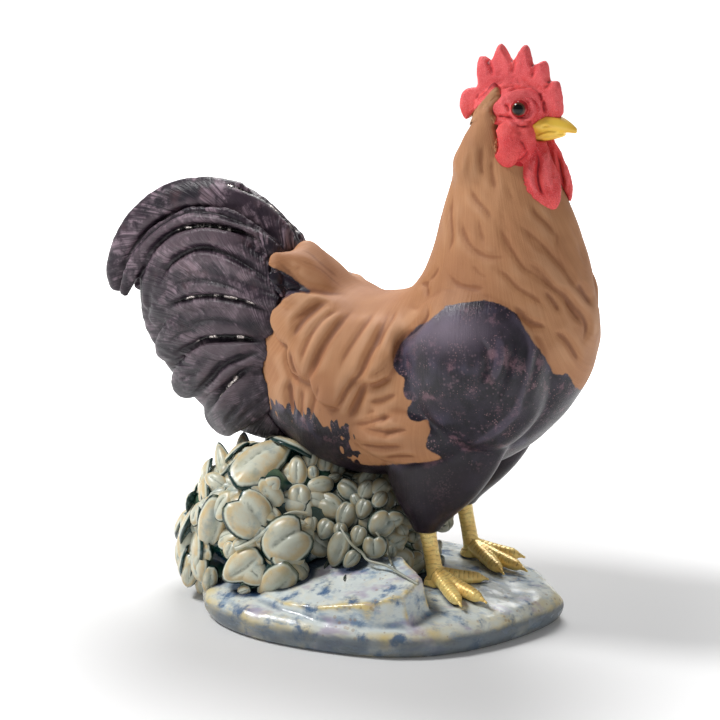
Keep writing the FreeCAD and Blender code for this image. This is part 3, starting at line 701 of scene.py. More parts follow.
# %% Finish of the plumage
def make_plumage_finish():
    material, bench, shader = new_finish("tan_and_lustre_plumage")
    place = bench.place()
    tone = bench.use(clay_grain, {"Patch Scale": 26.0, "Grain Scale": 2600.0}, "Tone")
    grain = bench.use(clay_grain, {"Patch Scale": 26.0, "Grain Scale": 2600.0}, "Height")
    # Creases are painted darker as shade, on the tan and on the lustre.
    painted_crease_shade = brushed_mask(bench, "crease", 0.55, 0.4, 0.4, 260.0)
    hackle = {"Along": bench.mark("flow_along"), "Across": bench.mark("flow_across"), "Lines per mm": 1.3}
    hair = bench.use(feather_barbs, hackle, "Lines")
    hair_height = bench.use(feather_barbs, hackle, "Height")
    tan = bench.blend(tone, paint(164, 113, 77), paint(180, 130, 91))
    tan = bench.tint(tan, hair, 0.25, paint(148, 98, 64))
    # Hollows are painted darker as shade.
    hollow = bench.rise(bench.mark("hollow"), 0.05, 0.8)
    tan = bench.tint(tan, hollow, 0.6, paint(136, 84, 52))
    tan = bench.tint(tan, painted_crease_shade, 0.6, paint(108, 62, 40))
    # Ridges are painted lighter as highlight, on the tan and on the lustre.
    ridge = bench.rise(bench.mark("ridge"), 0.1, 0.9)
    tan = bench.tint(tan, ridge, 0.4, paint(200, 156, 120))
    sponge = bench.clouds(place, 150.0, 6.0, 0.7)
    drift = bench.clouds(place, 38.0, 3.0)
    lustre = bench.blend(bench.rise(sponge, 0.35, 0.68), paint(20, 16, 26), paint(42, 35, 48))
    lustre = bench.tint(lustre, bench.rise(drift, 0.5, 0.66), 0.6, paint(74, 69, 90))
    blotch = bench.clouds(place, 95.0, 5.0, 0.7)
    lustre = bench.tint(lustre, bench.rise(blotch, 0.53, 0.66), 0.65, paint(122, 90, 100))
    pale = bench.use(glaze_speckle, {"Scale": 430.0, "Cover": 0.4}, "Mask")
    lustre = bench.tint(lustre, pale, 0.3, paint(130, 104, 114))
    rosy = bench.use(glaze_speckle, {"Scale": 800.0, "Cover": 0.4}, "Mask")
    lustre = bench.tint(lustre, rosy, 0.35, paint(176, 134, 138))
    # The lower body is painted darker as shade.
    low = bench.rise(bench.mark("belly"), 0.0, 1.0)
    lustre = bench.tint(lustre, low, 0.78, paint(32, 22, 30))
    # The mark thin holds a highlight painted on the crown of the wing.
    lustre = bench.tint(lustre, bench.mark("thin"), 0.7, paint(138, 126, 140))
    # Painted crease shade on the lustre.
    lustre = bench.tint(lustre, painted_crease_shade, 0.75, paint(26, 20, 32))
    lustre = bench.tint(lustre, ridge, 0.22, paint(130, 118, 140))
    painted = brushed_mask(bench, "painted", 0.0, 0.45, 2.6, 230.0)
    color = bench.blend(painted, tan, lustre)
    red = brushed_mask(bench, "red_edge", 0.0, 0.35, 1.0, 400.0)
    color = bench.blend(red, color, paint(196, 40, 50))
    rough = bench.rise(painted, 0.0, 1.0, 0.6, 0.3)
    height = bench.sums("ADD", grain, bench.sums("MULTIPLY", hair_height, 1.8))
    wire(bench, shader, color, rough, height, 0.12)
    shader.inputs["Specular IOR Level"].default_value = 0.35
    return material


plumage_finish = make_plumage_finish()

# %% [markdown]
# Head, neck and body are one casting, with the wings, the thighs and the saddle feathers luted
# on. The creases follow the long hackles down the neck, fan over the breast, and part the saddle
# feathers into broad lobes. Valleys are drawn one by one from the picture; finer hackle lines
# between them follow a fan that opens from the nape.

# %% Creases of the plumage
def strokes(width, depth, lift, *lines):
    return [(line, width, depth, lift) for line in lines]


NECK_STROKES = strokes(
    3.0, 0.85, 0.3,
    ((484, 139), (481, 153), (482, 169), (487, 184)), ((491, 155), (491, 172), (496, 190), (499, 193)),
    ((468, 184), (475, 198), (487, 212), (494, 226)),
    ((462, 212), (462, 226), (466, 238), (475, 250), (490, 257), (513, 257)),
    ((494, 200), (496, 217), (502, 233), (513, 252), (523, 267), (537, 276), (551, 288), (565, 302),
     (575, 312)),
    ((511, 212), (518, 224), (535, 238), (549, 252), (563, 269), (580, 293), (587, 309)),
    ((530, 198), (535, 212), (547, 224), (560, 240)), ((454, 188), (450, 212), (452, 238), (445, 260)),
    ((445, 269), (457, 283), (475, 288), (490, 286)),
    ((487, 262), (506, 276), (518, 288), (540, 302), (553, 318)),
    ((520, 259), (540, 271), (554, 288), (566, 300)), ((441, 262), (432, 276), (418, 288))) + strokes(
    2.4, 0.55, 0.0,
    ((556, 216), (558, 233), (557, 248), (563, 262), (573, 274), (582, 288)),
    ((568, 217), (577, 236), (582, 252), (587, 271)), ((478, 212), (480, 230), (486, 246)),
    ((500, 206), (504, 222), (512, 238)), ((472, 150), (468, 168), (466, 184)),
    ((505, 178), (509, 192), (516, 204)), ((470, 262), (478, 272), (490, 280)),
    ((523, 230), (533, 243), (545, 256)))
BREAST_STROKES = strokes(
    3.8, 1.3, 0.0,
    ((541, 288), (553, 300), (561, 315)),
    ((548, 280), (561, 292), (573, 304), (584, 317), (587, 330), (580, 347)),
    ((551, 330), (564, 338), (574, 352), (580, 366)), ((513, 303), (527, 320), (541, 326), (551, 330)),
    ((577, 280), (584, 292), (593, 307)), ((564, 294), (573, 311), (584, 326)))
SADDLE_STROKES = strokes(
    4.2, 1.9, 0.6,
    ((273, 256), (288, 271), (302, 286), (316, 290), (333, 293), (350, 294)),
    ((290, 342), (302, 321), (319, 307), (333, 301)),
    ((357, 307), (344, 318), (333, 331), (323, 346), (315, 363), (309, 378), (303, 384)),
    ((395, 303), (383, 324), (374, 343), (368, 355), (362, 369), (358, 376), (347, 390), (339, 405),
     (330, 411)),
    ((427, 299), (426, 315), (416, 327), (402, 339), (395, 355), (390, 364)),
    ((290, 374), (289, 388), (290, 402), (294, 419)), ((367, 379), (361, 393), (355, 407), (347, 421)),
    ((289, 346), (289, 360), (293, 373), (298, 381), (303, 384))) + strokes(
    2.7, 1.0, 0.0,
    ((290, 257), (306, 262), (322, 269), (336, 282), (348, 292)), ((292, 271), (301, 266)),
    ((296, 249), (309, 252), (320, 261), (333, 272), (344, 284)),
    ((334, 299), (316, 304), (302, 313), (292, 322), (287, 331)),
    ((350, 304), (333, 313), (320, 324), (309, 339), (303, 353), (301, 367), (302, 377)),
    ((379, 307), (367, 322), (355, 339), (344, 357), (339, 374)),
    ((399, 306), (389, 324), (381, 339), (375, 355)),
    ((389, 355), (387, 364), (381, 371), (371, 376), (365, 379)), ((418, 280), (426, 286), (427, 299)),
    ((301, 384), (302, 397), (301, 412), (299, 423)), ((319, 379), (316, 393), (312, 409), (310, 423)),
    ((327, 407), (330, 411), (339, 405), (346, 388)))
FLIGHT_STROKES = strokes(
    2.6, 1.3, 0.3,
    ((369, 387), (381, 383), (393, 376)), ((367, 402), (381, 401), (390, 397), (400, 393)),
    ((350, 425), (367, 423), (383, 418), (397, 416)), ((358, 425), (372, 430), (386, 432), (407, 431)),
    ((381, 422), (388, 414)), ((380, 438), (395, 431), (411, 431)),
    ((380, 458), (398, 458), (420, 457)), ((352, 443), (366, 446), (384, 448), (408, 446)))
WING_STROKES = strokes(
    3.4, 1.3, 0.0,
    ((533, 341), (535, 360), (531, 379), (525, 399), (515, 416)),
    ((507, 337), (510, 356), (502, 387), (493, 410)), ((478, 334), (487, 356), (481, 387))) + strokes(
    4.5, -1.0, 0.0,
    ((502, 305), (518, 320), (527, 334), (533, 353), (531, 372), (525, 395), (513, 415), (496, 430),
     (472, 445), (449, 456)),
    ((496, 330), (501, 352), (493, 385)))
PLUMAGE_STROKES = NECK_STROKES + BREAST_STROKES + SADDLE_STROKES + FLIGHT_STROKES + WING_STROKES
WING_PAINT = (
    (446, 306), (460, 303), (475, 301), (487, 301), (502, 305), (515, 313), (522, 323), (533, 341),
    (542, 353), (550, 366), (554, 373), (562, 375), (566, 373), (571, 379), (575, 387), (590, 400),
    (600, 470), (560, 560), (430, 590), (360, 560), (300, 500), (338, 460), (364, 465), (400, 464),
    (441, 459), (430, 451), (426, 444), (430, 430), (427, 419), (418, 422), (409, 418), (407, 410),
    (412, 401), (406, 398), (403, 389), (405, 379), (397, 372), (393, 363), (400, 346), (407, 337),
    (418, 326), (430, 320))
SADDLE_PAINT = (
    (200, 405), (282, 404), (296, 412), (316, 416), (340, 428), (352, 470), (330, 520), (240, 520))
print(len(PLUMAGE_STROKES), "strokes on each side of the bird")

# %% Fields and fillings of the plumage
PLUMAGE_VOXEL = 1.12
SIDES = ("right", "left")
PLUMAGE_NODES = ["body_shell"] + [
    f"{side}_{part}" for side in SIDES
    for part in ("wing_bow", "wing_flights", "thigh", "rump_crest", "saddle_feather_1",
                 "saddle_feather_2", "saddle_feather_3", "saddle_feather_4")]
# Places in the picture. The row of a ball ends with its radius in millimetres.
NAPE_BALLS = ((500, 108, 4.0), (497, 114, 6.5), (493, 127, 8.5), (487, 143, 11.0), (482, 162, 13.0))
CREST_BALLS = (
    (275, 256, 4.5), (275, 265, 5.0), (286, 258, 5.5), (297, 260, 6.5), (300, 271, 5.5),
    (309, 265, 7.0), (320, 275, 7.0))
SADDLE_ROOTS = ((318, 300), (350, 278), (420, 290), (416, 325), (396, 346), (352, 336), (330, 322))
NAPE_FIELD = ((440, 215), (446, 160), (470, 116), (494, 118), (500, 150), (494, 205))
CREST_FIELD = ((262, 246), (300, 236), (340, 258), (352, 296), (306, 284), (284, 272), (266, 272))
TAIL_NOTCH = (
    (258, 262), (276, 270), (290, 277), (302, 286), (309, 292), (296, 291), (283, 298), (273, 308),
    (258, 306))
NAPE_TAN = (
    (455, 160), (462, 128), (480, 104), (496, 87), (500, 95), (493, 104), (492, 112), (496, 117),
    (495, 122), (494, 127), (497, 150), (480, 165))
CHEEK_RED = ((512, 118), (528, 122), (542, 138), (536, 150), (529, 164), (517, 166), (506, 158))
# Where a highlight is painted on the crown of the wing.
WING_HIGHLIGHT_PLACE, WING_HIGHLIGHT_REACH = np.array((446, 330)), np.array((42, 20))
# Places and sizes in millimetres.
RUMP_PLACES, RUMP_HALF_WIDTHS = (-58, -53, -48, -43, -38), (10, 14, 17, 19, 20)
RUMP_DROP = 4.5
ROOT_PLACES, ROOT_DROPS = (-95, -80, -60, -48, -40, -28), (0, 4, 9.5, 15, 20, 27)
FILL_INSET = 1.5
FAR_CREST_DROP = 5.5


def lower_root(points):
    """Lets the root of the tail run down into the back, as the rump's outline does."""
    drop = np.interp(points[:, 0], ROOT_PLACES, ROOT_DROPS) * step(150, 182, points[:, 2])
    return points - np.stack([0 * drop, 0 * drop, drop], axis=1)


def lower_rump(points):
    """Lowers the upper edge of the rump crests on to the rump's outline."""
    x, _, z = points.T
    drop = RUMP_DROP * step(-66, -58, x) * step(-24, -36, x) * step(158, 172, z)
    return points - np.stack([0 * drop, 0 * drop, drop], axis=1)


def rump_filling():
    """Balls along the root of the top feather, so that the rump covers it."""
    points = lower_root(cad_arrays(["top_sickle_feather"])[0])
    filling = []
    for x, half_width in zip(RUMP_PLACES, RUMP_HALF_WIDTHS):
        root = points[np.abs(points[:, 0] - x) < 2.5]
        low, high = root.min(axis=0), root.max(axis=0)
        filling.append(ball((low + high) / 2, (8.0, half_width, (high[2] - low[2]) / 2 + 0.5)))
    return filling


def nape_filling():
    """Balls across the neck behind the head, which give the nape its outline in the picture."""
    outside = surface_of(["body_shell", "face"])
    filling = []
    for x, y, size in NAPE_BALLS:
        start, way = ray_through(x, y)
        hit = outside.ray_cast(start.tolist(), way.tolist())[0]
        filling.append(ball(start - way * start[1] / way[1], (size, 1.3 * abs(hit[1]) + 1.0, size)))
    return filling


def crest_filling():
    """Balls just under the skin of the rump crests, up to their rounded tips."""
    outside = surface_of(["body_shell", "tail_core", "right_rump_crest", "right_sickle_feather_1",
                          "right_sickle_feather_2", "right_tail_covert_1"])
    filling = []
    for x, y, size in CREST_BALLS:
        start, way = ray_through(x, y)
        middle = np.array(outside.ray_cast(start.tolist(), way.tolist())[0]) + way * (size - FILL_INSET)
        filling.append(ball(middle, (size, size, size)))
        filling.append(ball(middle * (1, -1, 1) - (0, 0, FAR_CREST_DROP), (size, size, size)))
    return filling


print(len(NAPE_BALLS) + 2 * len(CREST_BALLS) + len(RUMP_PLACES), "balls fill the plumage out")

# %% [markdown]
# The plain solids meet at edges that the real figure doesn't have, because its maker smoothed the
# clay there with a wet brush. So the skin is softened a little all over and eased much further in
# those fields. Then the creases and the finer hackle waves are pressed in, and the skin sinks a
# little where the red skin and the tail lie over it. Last, the marks that the finish reads are
# measured.

# %% Casting of head, neck, body, wings and saddle
NAPE = np.array((25.0, 330.0))
NECK_FLOW, SADDLE_FLOW = 130.0, 60.0
TIP_STREAK = 8.0
FACE_SINK, NOTCH_SINK = 3.2, 3.5
NAPE_HEIGHT, NAPE_REACH = 247.0, 9.0
SADDLE_CENTRE = np.array((-20.0, 190.0))
HACKLE_WAVE, HACKLE_DEPTH = 0.55, 0.9
CLAY_DEPTH = 0.4
BELLY_TOP, BELLY_LIMIT, BELLY_HALF_WIDTH = 62, 90, 20
EDGE_LIMIT, PAINT_LIMIT = 20, 30


def fan_lines(points, centre, spread):
    """Along and across coordinates in mm of a fan that opens from a centre in side view."""
    off = points[:, [0, 2]] - centre
    reach = np.linalg.norm(off, axis=1)
    turn = np.arctan2(off[:, 1], off[:, 0])
    return np.stack([reach, turn * spread, np.zeros(len(points))], axis=1)


def ease(skin, share, rounds):
    """Smooths a skin only where the share is high."""
    skin.points += (skin.averaged(skin.points, rounds) - skin.points) * share[:, None]


def smooth_joints(skin):
    """Eases the nape, the roots of the saddle feathers, the crests and the ridge of the rump."""
    x, y, z = skin.points.T
    ease(skin, np.exp(-((z - NAPE_HEIGHT) / NAPE_REACH) ** 2) * step(66, 52, x), 8)
    for field in (SADDLE_ROOTS, NAPE_FIELD, CREST_FIELD):
        ease(skin, step(-4, 8, field_depth(skin, field)), 80)
    ease(skin, step(24, 10, np.abs(y)) * step(-18, -34, x) * step(158, 166, z), 40)


def with_hackles(skin, height, fan):
    """Adds the waves of the hackles on the neck and the unevenness of the clay."""
    above = 0.5 * step(120, 160, skin.points[:, 2]) * step(-20, 10, skin.points[:, 0])
    wave = fan[:, 1] * HACKLE_WAVE + 2.4 * lumps(skin.points, 24.0)
    hackle = np.sin(wave) * lumps(skin.points, 18.0, 9.0)
    return height + HACKLE_DEPTH * hackle * above + CLAY_DEPTH * lumps(skin.points, 14.0, 4.0)


def sunk_under_neighbours(skin, height):
    """Lowers the plumage under the red skin and in the notch beside the tail."""
    x, _, z = skin.points.T
    edge = field_depth(skin, NAPE_TAN) * MM_PER_PIXEL
    under_red = step(0.2, -1.2, edge) * step(236, 243, z) * step(24, 32, x)
    notch = field_depth(skin, TAIL_NOTCH) * MM_PER_PIXEL
    return height - FACE_SINK * under_red - NOTCH_SINK * step(-0.8, 2.0, notch)


def painted_depth(skin):
    """How far inside the dark lustre each point lies, in mm: wing, notch, saddle tips, belly."""
    _, y, z = skin.points.T
    wing, tips = (field_depth(skin, field) * MM_PER_PIXEL for field in (WING_PAINT, SADDLE_PAINT))
    streaks = lumps(skin.points * (1.0, 1.0, 0.16), 2.4, 2.0)
    streaks = streaks + 0.6 * lumps(skin.points * (1.0, 1.0, 0.2), 5.0)
    notch = field_depth(skin, TAIL_NOTCH) * MM_PER_PIXEL
    depth = np.maximum(np.maximum(wing, notch + 0.6), tips + TIP_STREAK * streaks)
    under = (BELLY_TOP - z) * 0.8
    belly = (np.abs(y) < BELLY_HALF_WIDTH) & (z < BELLY_LIMIT)
    depth = np.where(belly, np.maximum(depth, under + 18), depth)
    return np.clip(depth, -PAINT_LIMIT, PAINT_LIMIT)


def make_plumage():
    fillings = VENT_PLUGS + rump_filling() + nape_filling() + crest_filling()
    skin = fused("plumage", PLUMAGE_NODES + ["face"], PLUMAGE_VOXEL, fillings, lower_rump)
    skin.soften(3)
    smooth_joints(skin)
    height, shade = strokes_on(skin, PLUMAGE_STROKES)
    fan = fan_lines(skin.points, NAPE, NECK_FLOW)
    rump = fan_lines(skin.points, SADDLE_CENTRE, SADDLE_FLOW)
    behind = step(-5, -35, skin.points[:, 0])[:, None]
    flow = fan * (1 - behind) + rump * behind
    height = with_hackles(skin, height, fan)
    skin.push(skin.averaged(sunk_under_neighbours(skin, height), 2))
    x, y, z = skin.points.T
    back = step(30, 20, np.abs(y)) * step(149, 155, z) * step(16, 6, x) * step(-72, -60, x)
    ease(skin, back, 25)
    skin.soften(1)
    mark_flow(skin, flow)
    # Hollows, which the finish paints darker as shade.
    skin.marks["hollow"] = np.clip(measure_hollows(skin, 12) * 3.0, 0, 1)
    red_edge = field_depth(skin, CHEEK_RED) * MM_PER_PIXEL
    skin.marks["red_edge"] = np.clip(red_edge, -EDGE_LIMIT, EDGE_LIMIT)
    # Creases, which the finish paints darker as shade.
    skin.marks["crease"] = skin.averaged(shade, 1)
    # Ridges, which the finish paints lighter as highlight.
    skin.marks["ridge"] = np.clip(skin.averaged(height, 2) * 1.2, 0, 1)
    skin.marks["painted"] = painted_depth(skin)
    # A highlight painted on the crown of the wing, in the mark thin.
    off = in_picture(near_side(skin.points)) - WING_HIGHLIGHT_PLACE
    skin.marks["thin"] = np.exp(-((off / WING_HIGHLIGHT_REACH) ** 2).sum(axis=1))
    # How low a point lies, which the finish paints darker as shade.
    skin.marks["belly"] = step(100, 78, skin.points[:, 2])
    return skin.build(plumage_finish, "tan_bisque", PLUMAGE_NODES)


plumage = make_plumage()

# %% [markdown]
# The tail is a fan of long sickle feathers over shorter coverts, modelled as one mass and painted
# with the same dark lustre, streaked with a dry brush along the barbs. Between some feathers the
# tool cut deep slots, lined with a dark metallic lustre that carries bright glints painted on as
# highlights. Fine barbs are too small to sculpt on this skin, so they are drawn by the Feather Barbs
# effect from a mark that holds the direction.

# %% Strokes of the tail
TAIL_VALLEYS = strokes(
    3.4, 2.4, 1.3,
    ((119, 283), (124, 265), (135, 246), (151, 230), (170, 217), (190, 210), (211, 212), (233, 219),
     (251, 226), (269, 235), (282, 246)),
    ((140, 271), (147, 256), (158, 244), (172, 233), (190, 227), (208, 225), (226, 228), (242, 233),
     (256, 240), (270, 248)),
    ((156, 296), (160, 281), (167, 267), (179, 256), (195, 249), (211, 249), (229, 255), (245, 264),
     (261, 274), (283, 290)),
    ((158, 315), (167, 306), (179, 301), (197, 297), (215, 297), (233, 300), (251, 305), (272, 314)),
    ((170, 362), (179, 352), (192, 346), (204, 340), (222, 339), (244, 339), (267, 343)),
    ((180, 400), (195, 393), (211, 378), (222, 366), (242, 357), (269, 350)),
    ((205, 420), (211, 405), (222, 390), (233, 380), (244, 371), (258, 362))) + strokes(
    2.0, 1.1, 0.0,
    ((167, 292), (177, 283), (192, 280), (211, 281), (226, 285), (242, 292), (260, 301)),
    ((176, 330), (190, 324), (208, 320), (228, 321), (248, 326)),
    ((236, 423), (247, 412), (260, 401), (270, 389)), ((135, 290), (140, 276), (150, 262)),
    ((165, 345), (180, 333), (200, 329)), ((176, 382), (190, 374), (204, 368)),
    ((222, 428), (232, 414), (246, 398)))
TAIL_SLOTS = strokes(
    2.0, 1.5, 0.0,
    ((210, 181), (224, 183), (244, 189), (265, 199), (283, 215), (299, 231), (314, 244)),
    ((158, 244), (172, 233), (190, 227), (208, 225), (226, 228), (242, 233), (256, 240), (270, 248)),
    ((158, 315), (167, 306), (179, 301), (197, 297), (215, 297), (233, 300), (251, 305), (272, 314)),
    ((182, 350), (192, 346), (204, 340), (222, 339), (244, 339), (267, 343)),
    ((212, 404), (222, 390), (233, 380), (244, 371)))
TAIL_SHADES = strokes(
    11.0, 0.0, 0.0,
    ((116, 276), (121, 258), (132, 240), (148, 224), (168, 211), (190, 203), (215, 204), (245, 215)),
    ((180, 288), (196, 286), (214, 287), (232, 293)),
    ((170, 322), (190, 316), (214, 315), (240, 318), (262, 324)),
    ((186, 360), (206, 352), (228, 349), (252, 352)), ((214, 415), (228, 400), (246, 382)),
    ((150, 300), (156, 284), (164, 270)), ((230, 262), (248, 272), (270, 288)))
TAIL_ROOT = np.array((-52.0, 122.0))
SADDLE_COVER = (
    (277, 252), (290, 262), (300, 290), (288, 310), (280, 330), (276, 350), (278, 400), (292, 440),
    (380, 440), (400, 300), (360, 262), (318, 236), (306, 238), (296, 246))
TAN_ROOT = (
    (302, 246), (304, 238), (314, 238), (330, 246), (365, 268), (375, 300), (330, 306), (306, 280),
    (303, 262))
print(len(TAIL_VALLEYS), "valleys and", len(TAIL_SLOTS), "slots on each side of the tail")

# %% Finish of the tail
def make_tail_finish():
    material, bench, shader = new_finish("streaked_lustre_tail")
    place = bench.place()
    along, across = bench.mark("flow_along"), bench.mark("flow_across")
    barbs = {"Along": along, "Across": across, "Lines per mm": 0.85}
    lines = bench.use(feather_barbs, barbs, "Lines")
    fine = bench.use(feather_barbs, dict(barbs, **{"Lines per mm": 2.2}), "Height")
    tone = bench.use(clay_grain, {"Patch Scale": 42.0, "Grain Scale": 1800.0}, "Tone")
    color = bench.blend(tone, paint(28, 22, 32), paint(54, 42, 52))
    dry = bench.rise(bench.clouds(place, 80.0, 4.0, 0.65), 0.46, 0.62)
    brushed = bench.sums("MULTIPLY", lines, dry)
    color = bench.tint(color, brushed, 0.74, paint(164, 142, 154))
    blush = bench.rise(bench.clouds(place, 75.0, 3.0), 0.55, 0.75)
    color = bench.tint(color, blush, 0.35, paint(104, 76, 80))
    shaded = brushed_mask(bench, "shade", 0.55, 0.35, 0.7, 190.0)
    color = bench.tint(color, shaded, 0.85, paint(24, 17, 27))
    # Hollows are painted darker as shade.
    hollow = bench.rise(bench.mark("hollow"), 0.05, 0.9)
    color = bench.tint(color, hollow, 0.7, paint(34, 26, 34))
    # Ridges are painted lighter as highlight.
    ridge = bench.rise(bench.mark("ridge"), 0.15, 1.0)
    color = bench.tint(color, ridge, 0.3, paint(128, 110, 118))
    # Valleys are painted darker as shade.
    painted_crease_shade = brushed_mask(bench, "crease", 0.5, 0.35, 0.5, 260.0)
    color = bench.tint(color, painted_crease_shade, 0.85, paint(24, 16, 24))
    root = brushed_mask(bench, "tan_root", 0.0, 0.4, 2.0, 300.0)
    color = bench.blend(root, color, paint(190, 140, 100))
    slot = bench.mark("slot")
    # Bright flecks on the dark lining are painted glints of highlight, and they are also metallic.
    glint = bench.rise(bench.clouds(place, 210.0, 2.0), 0.5, 0.58)
    lining = bench.blend(glint, paint(12, 8, 10), paint(215, 205, 200))
    lined = bench.rise(slot, 0.3, 0.55)
    color = bench.blend(lined, color, lining)
    rough = bench.rise(slot, 0.3, 0.55, 0.38, 0.12)
    metal = bench.sums("MULTIPLY", lined, glint)
    height = bench.sums("ADD", fine, bench.sums("MULTIPLY", lines, 0.7))
    wire(bench, shader, color, rough, height, 0.22, metallic=metal)
    shader.inputs["Specular IOR Level"].default_value = 0.28
    return material


tail_finish = make_tail_finish()

# %% Casting of the tail
TAIL_VOXEL = 0.9
TAIL_FLOW = 70.0
BARB_BEND, BARB_STRAIGHT = 0.0035, 60.0
TUCK_SINK, ROOT_SINK = 2.0, 5.0
BARB_DEPTH = 0.5
TAIL_NODES = ["tail_core", "top_sickle_feather"] + [
    f"{side}_{part}" for side in SIDES
    for part in ("sickle_feather_1", "sickle_feather_2", "sickle_feather_3", "sickle_feather_4",
                 "tail_covert_1", "tail_covert_2", "tail_covert_3")]


def make_tail():
    skin = fused("tail", TAIL_NODES, TAIL_VOXEL, VENT_PLUGS, lower_root)
    skin.soften(2)
    height, shade = strokes_on(skin, TAIL_VALLEYS)
    deep, slot = strokes_on(skin, TAIL_SLOTS)
    _, dark = strokes_on(skin, TAIL_SHADES)
    fan = fan_lines(skin.points, TAIL_ROOT, TAIL_FLOW)
    fan[:, 1] += BARB_BEND * (fan[:, 0] - BARB_STRAIGHT) ** 2 * np.where(skin.points[:, 2] > 0, -1.0, 1.0)
    barb = np.sin(fan[:, 1] * 1.5 + fan[:, 0] * 0.45 + 3.0 * lumps(skin.points, 16.0))
    tucked = field_depth(skin, SADDLE_COVER)
    x, _, z = skin.points.T
    height = height - TUCK_SINK * step(0, 6, tucked)
    height = height - ROOT_SINK * step(-68, -58, x) * step(163, 170, z) + deep
    height = height + BARB_DEPTH * barb * lumps(skin.points, 12.0, 3.0)
    height = height + BARB_DEPTH * lumps(skin.points, 12.0)
    skin.push(skin.averaged(height, 1))
    skin.soften(1)
    mark_flow(skin, fan)
    # Creases, which the finish paints darker as shade, and the lined slots.
    skin.marks["crease"], skin.marks["slot"] = skin.averaged(shade, 1), skin.averaged(slot, 1)
    skin.marks["shade"] = np.maximum(skin.averaged(dark, 2), 0.62 * step(195, 135, skin.points[:, 2]))
    # Hollows, which the finish paints darker as shade.
    skin.marks["hollow"] = np.clip(measure_hollows(skin, 10) * 3.0, 0, 1)
    tan_root = field_depth(skin, TAN_ROOT) * MM_PER_PIXEL
    skin.marks["tan_root"] = np.clip(tan_root, -EDGE_LIMIT, EDGE_LIMIT)
    # Ridges, which the finish paints lighter as highlight.
    skin.marks["ridge"] = np.clip(skin.averaged(height, 2) * 1.1, 0, 1)
    return skin.build(tail_finish, "tail_glaze", TAIL_NODES)


tail = make_tail()

# %% [markdown]
# Comb, face, earlobes and wattles are bare bisque in crimson, with the granular skin that a
# bird's comb has. The decorator rubbed a paler pink over the high grain. Ridges and the top of the
# head are painted lighter as highlight, and folds and hollows darker as shade. All four are one
# skin with one finish, which reads the marks on that skin.

# %% Finish of the red skin
def make_crimson_finish():
    material, bench, shader = new_finish("crimson_bisque")
    place = bench.place()
    tone = bench.use(clay_grain, {"Patch Scale": 90.0, "Grain Scale": 1500.0}, "Tone")
    color = bench.blend(tone, paint(210, 46, 52), paint(232, 82, 80))
    grain = bench.cells(place, 1900.0)
    # The mark rubbed is higher on ridges and at the top of the head: it places the pink and a painted
    # highlight.
    rubbed = brushed_mask(bench, "rubbed", 0.55, 0.4, 0.6, 700.0)
    pink = bench.sums("MULTIPLY", bench.rise(grain, 0.5, 0.15), rubbed)
    color = bench.tint(color, pink, 0.75, paint(248, 142, 146))
    # Ridges and the top of the head are painted lighter as highlight.
    painted_ridge_highlight = bench.sums("MULTIPLY", bench.rise(bench.mark("rubbed"), 0.65, 1.0), 0.4)
    color = bench.blend(painted_ridge_highlight, color, paint(246, 112, 116))
    # Folds and hollows are painted darker as shade.
    painted_fold_shade = brushed_mask(bench, "crease", 0.55, 0.4, 0.3, 500.0)
    color = bench.tint(color, painted_fold_shade, 0.55, paint(128, 14, 28))
    hollow = bench.rise(bench.mark("hollow"), 0.1, 1.0)
    color = bench.tint(color, hollow, 0.7, paint(140, 16, 32))
    tan = brushed_mask(bench, "tan_edge", 0.0, 0.3, 0.8, 500.0)
    color = bench.blend(tan, color, paint(178, 128, 88))
    rough = bench.rise(rubbed, 0.0, 1.0, 0.42, 0.58)
    height = bench.sums("SUBTRACT", 1.0, bench.sums("MULTIPLY", grain, 1.4))
    wire(bench, shader, color, rough, height, 0.22)
    shader.inputs["Specular IOR Level"].default_value = 0.4
    return material


crimson_finish = make_crimson_finish()

# %% [markdown]
# The face carries folds: a brow over the eye, a pouch under it, and the loose skin that runs into
# the earlobe. The wattles hang in long pleats. The strokes were read from a close look at the
# head, each in the picture's own places.

# %% Casting of face, comb and wattles
FACE_STROKES = strokes(
    1.6, 0.9, 0.0,
    ((544, 98), (544, 106), (546, 115)), ((495, 116), (506, 117), (514, 119)),
    ((504, 103), (508, 108), (509, 113)), ((499, 89), (509, 85), (519, 86)),
    ((506, 93), (517, 88), (530, 88)), ((516, 163), (524, 158), (530, 148)),
    ((520, 139), (524, 146), (526, 153)), ((514, 124), (522, 126), (530, 125)),
    ((538, 92), (541, 97), (541, 103))) + strokes(
    3.4, -1.1, 0.0,
    ((495, 110), (504, 99), (516, 93), (530, 92), (539, 99), (541, 110)),
    ((506, 119), (514, 123), (526, 124)))
EYE_RING = (
    (521.8, 97.5), (529.5, 100.0), (533.6, 107.5), (531, 116), (523, 120), (515, 117.5), (511, 110),
    (513.5, 101.5))
COMB_STROKES = strokes(
    2.6, 0.8, 0.0,
    ((488, 58), (490, 68), (493, 78)), ((513, 56), (513, 66), (512, 76)),
    ((533, 62), (533, 70), (531, 80)), ((551, 80), (548, 85), (543, 89)),
    ((487, 90), (481, 96), (474, 99)))
WATTLE_STROKES = strokes(
    2.3, 1.5, 0.0,
    ((535, 147), (539, 160), (538, 175), (541, 190), (548, 199)),
    ((556, 147), (559, 160), (561, 176), (565, 193)), ((570, 160), (573, 176), (574, 190))) + strokes(
    3.0, -0.8, 0.0,
    ((548, 144), (547, 160), (549, 180), (555, 197)), ((529, 160), (530, 178), (535, 193)))
HEAD_NODES = ["face", "comb", "right_earlobe", "left_earlobe", "right_wattle", "left_wattle"]
HEAD_VOXEL = 0.5
CHEEK_PLACE = (514, 141)
CHEEK_RADII = (10.5, 6.0, 12.5)
NAPE_INSET = 3.0
CHEEK_INSET = 1.6
RED_GRAIN = 0.2


